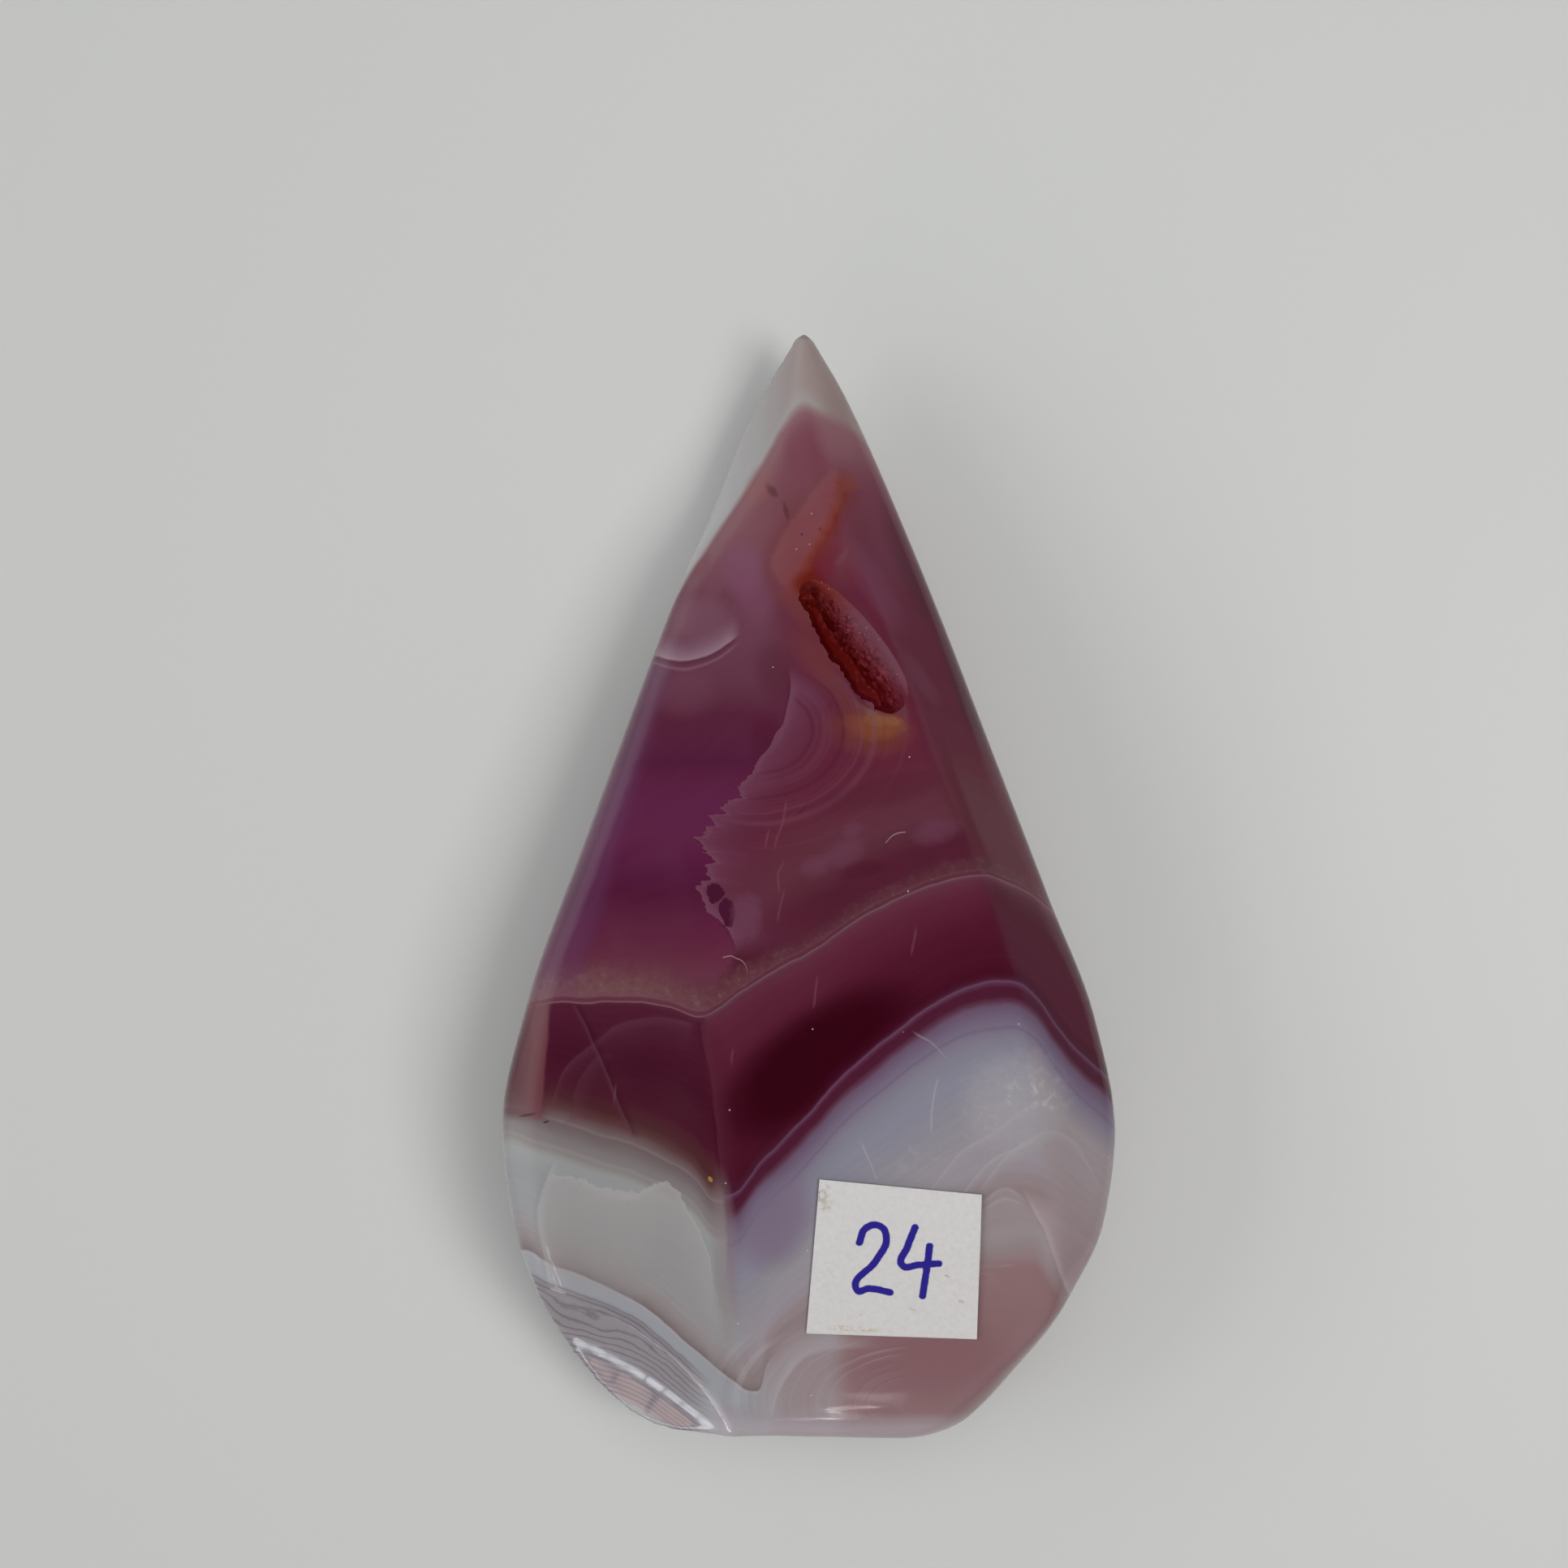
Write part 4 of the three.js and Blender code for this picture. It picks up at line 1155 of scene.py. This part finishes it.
# %% Arches and cracks under the upper seam
ARCH = [(-20.9, -17.6), (-20.7, -17.2), (-19.6, -14.7), (-17.2, -12.7), (-15.4, -11.3)]
ARCH += [(-12.2, -10.9), (-9.5, -11.4)]
INNER_ARCH = [(-19.6, -19.3), (-19.3, -19.0), (-18.7, -16.5), (-17.5, -14.4), (-17.0, -13.9)]
OLD_CRACK = [(-18.7, -9.9), (-17.4, -12.7), (-16.6, -14.7), (-15.4, -17.4), (-14.6, -19.6), (-14.2, -20.6)]
ROSE_REFLECTION_STRIP = [(-20.9, -9.6), (-21.2, -13.8), (-21.6, -18.1), (-21.7, -19.0)]
CREASE = [(-8.9, -11.3), (-8.6, -13.0), (-8.1, -15.4), (-7.7, -18.5), (-7.3, -22.1), (-7.1, -25.0)]
ARCH_SHADES = [(-3.0, "maroon", 0.0), (-0.9, "#5d2f40", 0.2), (-0.1, "#63364a", 0.45)]
ARCH_SHADES += [(0.15, "maroon", 0.0)]
INNER_ARCH_SHADES = [(-0.25, "maroon", 0.0), (0.0, "#63364a", 0.3), (0.9, "#5d2f40", 0.15)]
INNER_ARCH_SHADES += [(1.6, "maroon", 0.0)]
CRACK_SHADES = [(-0.5, "wine", 0.0), (-0.14, "#67394b", 0.4), (0.03, "night", 0.4), (0.6, "garnet", 0.0)]
ROSE_REFLECTION_SHADES = [(-4.0, "maroon", 0.5), (-2.4, "#55262f", 0.7), (-1.2, "#6c3f45", 0.85)]
ROSE_REFLECTION_SHADES += [(-0.15, "#6b3c43", 0.85), (0.12, "dark maroon", 0.4), (0.8, "dark maroon", 0.0)]
CREASE_PAINTED_SHADE = [(-0.3, "night", 0.0), (-0.05, "garnet", 0.3), (0.1, "#542637", 0.6)]
CREASE_PAINTED_SHADE += [(1.8, "dark maroon", 0.0)]

colour = drawn_line(colour, ARCH, ARCH_SHADES)
colour = drawn_line(colour, INNER_ARCH, INNER_ARCH_SHADES, upright=True)
colour = drawn_line(colour, OLD_CRACK, CRACK_SHADES, upright=True)
# Painted reflection: a rose strip along the left edge, brightest at its inner border.
colour = drawn_line(colour, ROSE_REFLECTION_STRIP, ROSE_REFLECTION_SHADES, upright=True)
# Painted shade along the valley between the facets, with a paler strip beside it.
colour = drawn_line(colour, CREASE, CREASE_PAINTED_SHADE, upright=True, soft=0.5)
colour = soft_spot(colour, "#a4843c", (-8.0, -24.3), (0.2, 0.3), 30, 0.8, 0.3)
for middle, size in (((-22.8, -18.7), (0.9, 0.16)), ((-21.3, -19.2), (0.35, 0.14))):
    colour = soft_spot(colour, "#3c2a2a", middle, size, 15, 0.8, 0.2)

# %% [markdown]
# The pale layers on the left carry a pale haze with a broken edge, a painted reflection of
# bright light in the left facet, with a painted highlight along its left edge. The scoop cuts
# across fine layers there, which show as thin dark lines, and its hollow is darkened with
# painted shade.

# %% Pale layers on the left
HAZE_TOP = [(-21.6, -23.6), (-20.6, -23.5), (-18.8, -23.8), (-17.1, -24.5), (-15.7, -25.0), (-14.0, -25.2)]
HAZE_TOP += [(-13.0, -24.9), (-12.0, -24.3), (-11.0, -24.9), (-9.7, -27.0), (-8.3, -30.2), (-7.9, -32.0)]
HAZE_LEFT = [(-20.7, -22.6), (-21.6, -25.0), (-22.0, -27.0), (-21.7, -29.5), (-21.2, -33.0)]
LEFT_REFLECTION_SHADES = [(-0.12, "ash", 0.0), (0.12, "#a8a5a5", 0.9), (0.8, "#a09c9c", 0.85), (4.0, "#9a9696", 0.8)]
LEFT_REFLECTION_SHADES += [(7.5, "#938e8f", 0.6), (9.5, "ash", 0.0)]
HAZE_EDGE_HIGHLIGHT = [(-0.6, "warm grey", 0.0), (-0.15, "#7f8083", 0.3), (0.1, "#acacad", 0.3), (0.9, "ash", 0.0)]
SCOOP_STEP = 0.17
SCOOP_LINE = 0.04
SCOOP_PAINTED_SHADE = 0.6

haze_top = add_node(tree, "FloatCurve", {"Value": across}, points=HAZE_TOP)
haze_gap = add_node(tree, "Math", [haze_top, along], operation="SUBTRACT")
haze_gap = add_node(tree, "Math", [jagged, 0.9, haze_gap], operation="MULTIPLY_ADD")
haze_left = add_node(tree, "FloatCurve", {"Value": along}, points=upright_line(HAZE_LEFT))
haze_side = add_node(tree, "Math", [across, haze_left], operation="SUBTRACT")
left_reflection_share = add_node(tree, "MapRange", [haze_side, -0.1, 0.4, 0.0, 0.9], **SMOOTH)
haze_window = between(across, -23.0, -7.6, 1.5)
left_reflection_share = add_node(tree, "Math", [left_reflection_share, haze_window], operation="MULTIPLY")
haze_patches = add_node(tree, "MapRange", [slow, 0.3, 0.7, 0.75, 1.0], **SMOOTH)
left_reflection_share = add_node(tree, "Math", [left_reflection_share, haze_patches], operation="MULTIPLY")
# Painted reflection: a pale patch with a broken top edge on the left facet.
colour = laid_run(colour, haze_gap, LEFT_REFLECTION_SHADES, left_reflection_share)
# Painted highlight along the left edge of that reflection, with a faint dark line beside it.
colour = drawn_line(colour, HAZE_LEFT, HAZE_EDGE_HIGHLIGHT, upright=True)
colour = soft_spot(colour, "#85757a", (-6.8, -31.0), (1.4, 8.5), 3, 0.5)
colour = soft_spot(colour, "#75657a", (-2.4, -28.0), (3.2, 5.5), -25, 0.8)
scoop_place = add_node(tree, "Math", [jagged, 0.06, under_base], operation="MULTIPLY_ADD")
scoop_place = add_node(tree, "Math", [scoop_place, SCOOP_STEP], operation="PINGPONG")
scoop_line = add_node(tree, "MapRange", [scoop_place, 0.0, SCOOP_LINE * 2, 0.7, 0.0], **SMOOTH)
scoop_height = between(under_base, 1.3, 6.4, 0.6)
scoop_width = between(across, -26.0, -9.0, 3.0)
in_scoop = add_node(tree, "Math", [scoop_height, scoop_width], operation="MULTIPLY")
scoop_line = add_node(tree, "Math", [scoop_line, in_scoop], operation="MULTIPLY")
# Painted shade: the hollow of the scoop is darkened.
scoop_painted_shade = add_node(tree, "Math", [in_scoop, SCOOP_PAINTED_SHADE], operation="MULTIPLY")
colour = add_node(tree, "MixRGB", [scoop_painted_shade, colour, linear("#6d6269")])
colour = add_node(tree, "MixRGB", [scoop_line, colour, linear("#51444c")])

# %% [markdown]
# On the right the pale layers turn to a dusty mauve towards the base. Rings run there round
# an old centre of growth, arcs cross the upper part, and near the seam the chalcedony is
# feathery.

# %% Pale layers on the right
MAUVE_TOP = [(1.5, -40.0), (2.6, -33.0), (4.3, -26.2), (10.2, -27.3), (14.5, -29.0)]
MAUVE_TOP += [(18.0, -28.5), (19.4, -30.0), (22.0, -35.0)]
MAUVE_SHADES = [(-1.6, "pale mauve", 0.0), (0.5, "dusty mauve", 0.6), (2.4, "rose grey", 1.0)]
MAUVE_SHADES += [(18.0, "rose grey", 1.0)]
BASE_STRIP = [(-9.0, -45.6), (-6.4, -44.2), (-2.3, -44.9), (6.1, -44.8), (14, -44.6)]
STRIP_SHADES = [(-2.0, "#a59da2", 0.7), (-0.7, "#9d949c", 0.7), (-0.1, "#978d94", 0.5)]
STRIP_SHADES += [(0.6, "pale mauve", 0.0)]
SWIRL_SHADES = [(0.3, "#866a70", 0.25), (0.46, "pale mauve", 0.0), (0.53, "frost", 0.0)]
SWIRL_SHADES += [(0.66, "frost", 0.2)]
TONGUE = [(-3.0, -45.0), (-2.2, -42.0), (-0.5, -39.6), (2.0, -38.4), (5.0, -38.2)]
TONGUE_SHADES = [(-3.0, "rose grey", 0.45), (-0.4, "rose grey", 0.35), (0.0, "#a79da2", 0.3)]
TONGUE_SHADES += [(1.2, "frost", 0.0)]
ARCS = [
    [(10.0, -24.6), (12.0, -21.8), (15.0, -19.7), (16.6, -18.4), (18.0, -17.4)],
    [(14.1, -24.3), (16.0, -21.7), (17.6, -20.4), (19.3, -19.7)]
    + [(21.2, -20.7), (22.6, -22.6), (23.5, -24.1)],
    [(12.1, -25.6), (14.6, -22.3), (18.0, -20.4)],
    [(14.3, -25.5), (16.0, -24.5), (17.3, -25.3)],
    [(14.3, -26.2), (16.0, -25.3), (17.0, -25.6)],
]
ARC_SHADES = [(-1.4, "pale mauve", 0.0), (-0.25, "#9c979c", 0.3), (0.0, "#a9a4a8", 0.4)]
ARC_SHADES += [(0.3, "#8d878d", 0.15), (0.6, "pale mauve", 0.0)]
WEDGE_SIDE_SHADES = [(-0.3, "rose grey", 0.0), (0.0, "#aa9ca0", 0.6), (0.5, "#9b8c91", 0.6)]
WEDGE_SIDE_SHADES += [(4.0, "#97898e", 0.4)]
HAIRS = [
    ([(9.9, -19.8), (10.0, -18.0), (10.4, -15.6)], True),
    ([(5.6, -24.0), (5.0, -22.5), (4.4, -21.0)], True),
    ([(8.6, -11.9), (9.9, -12.6), (10.9, -13.7)], False),
]
HAIR_SHADES = [(-0.14, "frost", 0.0), (0.0, "frost", 0.3), (0.12, "frost", 0.0)]
WEDGE_LINE = [(17.7, -25.2), (19.0, -27.6), (19.9, -29.8), (20.7, -31.9), (21.5, -33.9)]
GROWTH_CENTRE = (9.5, -43.5)

mauve_top = add_node(tree, "FloatCurve", {"Value": across}, points=MAUVE_TOP)
mauve_gap = add_node(tree, "Math", [mauve_top, along], operation="SUBTRACT")
mauve_window = add_node(tree, "MapRange", [across, 1.6, 4.2], **SMOOTH)
colour = laid_run(colour, mauve_gap, MAUVE_SHADES, mauve_window)
colour = soft_spot(colour, "#7d585e", (10.0, -40.0), (9.0, 4.5), 8, 0.8)
swirl = rings_round(GROWTH_CENTRE, (1.7, 1.0))
swirl_look = {"W": swirl, "Scale": 1.5, "Detail": 3.0, "Roughness": 0.65}
swirl_noise = add_node(tree, "TexNoise", swirl_look, noise_dimensions="1D")
swirl_width, swirl_height = between(across, -7.0, 7.5, 3.0), between(along, -45.5, -38.0, 2.0)
swirl_share = add_node(tree, "Math", [swirl_width, swirl_height], operation="MULTIPLY")
colour = laid_run(colour, swirl_noise, SWIRL_SHADES, swirl_share)
colour = drawn_line(colour, TONGUE, TONGUE_SHADES, soft=3.0)
colour = drawn_line(colour, BASE_STRIP, STRIP_SHADES, soft=6.0)
for arc in ARCS:
    colour = drawn_line(colour, arc, ARC_SHADES, soft=1.6)
colour = drawn_line(colour, WEDGE_LINE, WEDGE_SIDE_SHADES, upright=True, soft=2.5)
colour = soft_spot(colour, "#9f9ba0", (16.6, -17.4), (5.2, 5.0), 0, 0.55, ragged=0.5)
feather_look = {"Vector": in_mm, "Scale": 0.9, "Detail": 6.0, "Roughness": 0.7, "Distortion": 0.6}
feathers = add_node(tree, "TexNoise", feather_look)
feather_share = add_node(tree, "MapRange", [feathers, 0.48, 0.7, 0.0, 0.45], **SMOOTH)
feathery = soft_spot(colour, "chalk", (18.0, -16.4), (3.6, 2.4), -10, 1.0, ragged=0.5)
feathery = soft_spot(feathery, "frost", (14.0, -18.6), (2.2, 3.0), -30, 0.6, ragged=0.5)
feathery = soft_spot(feathery, "frost", (9.0, -22.0), (3.0, 1.6), 30, 0.6, ragged=0.5)
colour = add_node(tree, "MixRGB", [feather_share, colour, feathery])
for hair, upright in HAIRS:
    colour = drawn_line(colour, hair, HAIR_SHADES, upright)

# %% [markdown]
# Last come the marks of handling: fine scratches, two threads of lint, a dark fleck and
# scattered bright specks. The very tip is dulled by wear. Then the front's colour is
# blended over that of the sides and the back.

# %% Marks of handling
SCRATCHES = [
    [(0.8, -7.5), (0.55, -8.7), (0.4, -10.0)],
    [(8.6, -3.5), (8.5, -4.6), (8.3, -5.6)],
    [(-6.1, -13.6), (-6.2, -14.7)],
    [(-1.7, 6.6), (-2.0, 5.2), (-2.5, 3.9), (-2.7, 3.0)],
    [(-2.0, 1.8), (-2.4, 0.6), (-2.3, -0.6)],
    [(-1.9, -0.6), (-2.2, -1.8), (-2.4, -3.0)],
    [(-3.2, 4.4), (-3.5, 3.0)],
    [(-15.6, -16.4), (-15.7, -17.6)],
]
SCRATCH_SHADES = [(-0.16, "rose plum", 0.0), (0.0, "#7d566a", 0.35), (0.16, "rose plum", 0.0)]
LINT = [
    [(-7.0, -6.0), (-6.4, -5.9), (-5.9, -6.1), (-5.4, -6.3), (-5.0, -6.9), (-4.9, -7.8)],
    [(6.3, 3.4), (6.9, 4.0), (7.4, 4.2), (7.9, 4.3)],
]
LINT_SHADES = [(-0.07, "frost", 0.0), (0.0, "frost", 0.5), (0.07, "frost", 0.0)]
FLECK = [(-0.7, 5.8), (-0.2, 6.2), (0.1, 6.8)]
FLECK_SHADES = [(-0.1, "night", 0.0), (0.0, "night", 0.5), (0.1, "night", 0.0)]

for scratch in SCRATCHES:
    colour = drawn_line(colour, scratch, SCRATCH_SHADES, upright=True, soft=0.7)
for thread in LINT:
    colour = drawn_line(colour, thread, LINT_SHADES, soft=0.1)
colour = drawn_line(colour, FLECK, FLECK_SHADES, soft=0.2)
specks = add_node(tree, "TexVoronoi", {"Vector": in_mm, "Scale": 0.3, "Randomness": 1.0})
speck_light = add_node(tree, "MapRange", [specks, 0.028, 0.012, 0.0, 0.7], **SMOOTH)
colour = add_node(tree, "MixRGB", [speck_light, colour, linear(STONE_COLOURS["chalk"])])
colour = soft_spot(colour, "#63625c", (-0.15, 46.5), (0.8, 0.45), 0, 0.6)
colour = add_node(tree, "MixRGB", [front_share, side_colour, colour])
print("nodes in the agate:", len(tree.nodes))

# %% [markdown]
# Chalcedony takes a polish like glass, with an index of refraction of 1.54. Handling has
# left it a little smeared, so its roughness changes slowly over the surface. Light goes in
# by a millimetre or two and comes out redder, which makes the pale layers look milky.

# %% Link the agate's shader
QUARTZ_IOR = 1.54
ROUGHNESS = (0.06, 0.12)
SMEAR_SCALE = 0.35
UNDER_SURFACE = 0.25
LIGHT_REACH = 2.5 * MM

smears = add_node(tree, "TexNoise", {"Vector": in_mm, "Scale": SMEAR_SCALE, "Detail": 3.0})
roughness = add_node(tree, "MapRange", [smears, 0.35, 0.7, *ROUGHNESS], **SMOOTH)
tree.links.new(roughness, agate_shader.inputs["Roughness"])
agate_shader.inputs["IOR"].default_value = QUARTZ_IOR
agate_shader.inputs["Subsurface Weight"].default_value = UNDER_SURFACE
agate_shader.inputs["Subsurface Radius"].default_value = (1.0, 0.5, 0.6)
agate_shader.inputs["Subsurface Scale"].default_value = LIGHT_REACH
tree.links.new(colour, agate_shader.inputs["Base Color"])
stone.data.materials.append(agate)

# %% [markdown]
# The druse is quartz stained with iron. It is darkest red under the left rim, brown red
# halfway, and turns to the plum of the stone where the crust thins out on the right. Each
# crystal has its own tone, and a few carry a painted highlight, a pale glint laid into their
# colour. The shader's own sheen is kept weak, because faces this small scatter the light.

# %% Druse material
CRYSTALS_PER_MM = 1 / CRYSTAL_SIZE
DRUSE_SHADES = [(0.0, "#4c0400"), (0.25, "#5c0502"), (0.42, "#62100f"), (0.6, "#6c2632")]
DRUSE_SHADES += [(0.76, "#6c3646"), (1.0, "#68394a")]
SPECKLE = [(0.0, 0.15), (0.25, 0.35), (0.4, 0.85), (0.65, 0.85), (0.8, 0.35), (0.92, 0.05), (1.0, 0.0)]
# Painted highlight: how strong the pale glints are across the slope of the crust.
PAINTED_GLINT_LEVELS = [(0.0, 0.0), (0.6, 0.1), (0.85, 0.9), (1.0, 0.6)]

druse, tree, druse_shader = new_material("iron-stained quartz druse")
object_place = add_node(tree, "TexCoord").node.outputs["Object"]
in_mm = add_node(tree, "VectorMath", {"Vector": object_place, "Scale": 1 / MM}, operation="SCALE")
place_axes = add_node(tree, "SeparateXYZ", [in_mm]).node.outputs
slope_share = add_node(tree, "Attribute", attribute_name="slope_share").node.outputs["Fac"]
druse_colour, _ = colour_run(slope_share, DRUSE_SHADES)
top_share = add_node(tree, "MapRange", [place_axes["Y"], 21.0, 24.5, 0.0, 0.8], **SMOOTH)
druse_colour = add_node(tree, "MixRGB", [top_share, druse_colour, linear("#701c08")])
low_share = add_node(tree, "MapRange", [place_axes["Y"], 17.0, 14.5, 0.0, 0.7], **SMOOTH)
druse_colour = add_node(tree, "MixRGB", [low_share, druse_colour, linear("#66101a")])
crystals = add_node(tree, "TexVoronoi", {"Vector": in_mm, "Scale": CRYSTALS_PER_MM}).node.outputs
crystal_tone = add_node(tree, "SeparateXYZ", [crystals["Color"]]).node.outputs
speckle_level = add_node(tree, "FloatCurve", {"Value": slope_share}, points=SPECKLE)
dark_share = add_node(tree, "MapRange", [crystal_tone["X"], 0.5, 1.0, 0.0, 0.8], **SMOOTH)
dark_share = add_node(tree, "Math", [dark_share, speckle_level], operation="MULTIPLY")
druse_colour = add_node(tree, "MixRGB", [dark_share, druse_colour, linear("#420003")])
light_share = add_node(tree, "MapRange", [crystal_tone["Y"], 0.6, 1.0, 0.0, 0.45], **SMOOTH)
light_share = add_node(tree, "Math", [light_share, speckle_level], operation="MULTIPLY")
druse_colour = add_node(tree, "MixRGB", [light_share, druse_colour, linear("#96404c")])
# Painted highlight: a pale glint laid into the colour of a few crystals.
painted_glint_level = add_node(tree, "FloatCurve", {"Value": slope_share}, points=PAINTED_GLINT_LEVELS)
painted_glint_share = add_node(tree, "MapRange", [crystal_tone["Z"], 0.8, 0.82], **SMOOTH)
glint = add_node(tree, "MapRange", [crystals["Distance"], 0.24, 0.1], **SMOOTH)
painted_glint_share = add_node(tree, "Math", [painted_glint_share, glint], operation="MULTIPLY")
painted_glint_share = add_node(tree, "Math", [painted_glint_share, painted_glint_level], operation="MULTIPLY")
druse_colour = add_node(tree, "MixRGB", [painted_glint_share, druse_colour, linear("#b08a98")])
tree.links.new(druse_colour, druse_shader.inputs["Base Color"])
druse_shader.inputs["Roughness"].default_value = 0.4
druse_shader.inputs["Specular IOR Level"].default_value = 0.2
druse_shader.inputs["IOR"].default_value = QUARTZ_IOR
lining.data.materials.append(druse)

# %% [markdown]
# The paper is matt and slightly mottled. Its upper left corner is grubby, its lower edge
# is stained brown, and it carries a few pencil-grey flecks. The ink is a blue ballpoint
# line, a little uneven in width.

# %% Paper material
PEN_WIDTH = 0.6
PEN_EDGE = 0.05
CARD_TINTS = [(0.3, "#c0bdbe"), (0.5, "#c6c4c4"), (0.7, "#cac8c8")]
PAPER_MARKS = [
    ((-6.1, 5.6), (1.4, 0.9), 15, "#9c9480", 0.75),
    ((-5.6, 4.6), (0.9, 0.8), 40, "#8d8570", 0.5),
    ((-3.2, -6.0), (2.6, 0.35), -3, "#b39a74", 0.8),
    ((5.6, -3.4), (0.3, 0.3), 0, "#a88a88", 0.9),
    ((4.4, -1.2), (0.35, 0.12), -20, "#8f8a8a", 0.8),
    ((-2.5, -4.7), (0.3, 0.12), 15, "#8f8a8a", 0.7),
    ((-1.6, -5.0), (0.22, 0.1), 0, "#8f8a8a", 0.7),
    ((1.7, -4.2), (0.5, 0.14), -20, "#a09b9a", 0.7),
    ((-5.0, -1.2), (0.8, 0.12), -50, "#aaa49c", 0.6),
]

paper, tree, paper_shader = new_material("white card with ballpoint")
object_place = add_node(tree, "TexCoord").node.outputs["Object"]
in_mm = add_node(tree, "VectorMath", {"Vector": object_place, "Scale": 1 / MM}, operation="SCALE")
place = add_node(tree, "VectorMath", [in_mm, tuple(label_middle / MM)], operation="SUBTRACT")
across, along, _ = add_node(tree, "SeparateXYZ", [place]).node.outputs
fibres = add_node(tree, "TexNoise", {"Vector": in_mm, "Scale": 2.2, "Detail": 6.0, "Roughness": 0.65})
paper_colour, _ = colour_run(fibres, CARD_TINTS)
blots = add_node(tree, "TexNoise", {"Vector": in_mm, "Scale": 2.5, "Detail": 4.0, "Roughness": 0.7})
blot_share = add_node(tree, "MapRange", [blots, 0.42, 0.6], **SMOOTH)
marked = paper_colour
for middle, size, turn, tint, strength in PAPER_MARKS:
    marked = soft_spot(marked, tint, middle, size, turn, strength)
paper_colour = add_node(tree, "MixRGB", [blot_share, paper_colour, marked])
ink_gap = add_node(tree, "Attribute", attribute_name="ink_distance").node.outputs["Fac"]
uneven = add_node(tree, "Math", [fibres, 0.12, -0.06], operation="MULTIPLY_ADD")
ink_gap = add_node(tree, "Math", [ink_gap, uneven], operation="ADD")
ink_ends = [PEN_WIDTH / 2 + PEN_EDGE, PEN_WIDTH / 2 - PEN_EDGE]
ink_share = add_node(tree, "MapRange", [ink_gap, *ink_ends], **SMOOTH)
written = add_node(tree, "MixRGB", [ink_share, paper_colour, linear("#1e1280")])
tree.links.new(written, paper_shader.inputs["Base Color"])
paper_shader.inputs["Roughness"].default_value = 0.85
label.data.materials.append(paper)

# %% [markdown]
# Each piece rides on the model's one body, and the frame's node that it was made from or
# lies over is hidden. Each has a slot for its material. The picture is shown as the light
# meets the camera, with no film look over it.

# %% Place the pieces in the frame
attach(stone, "root")
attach(lining, "root")
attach(label, "root")
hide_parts("agate_flame")
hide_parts("druse_crust")
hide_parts("paper_label")
bpy.context.scene.view_settings.view_transform = "Standard"
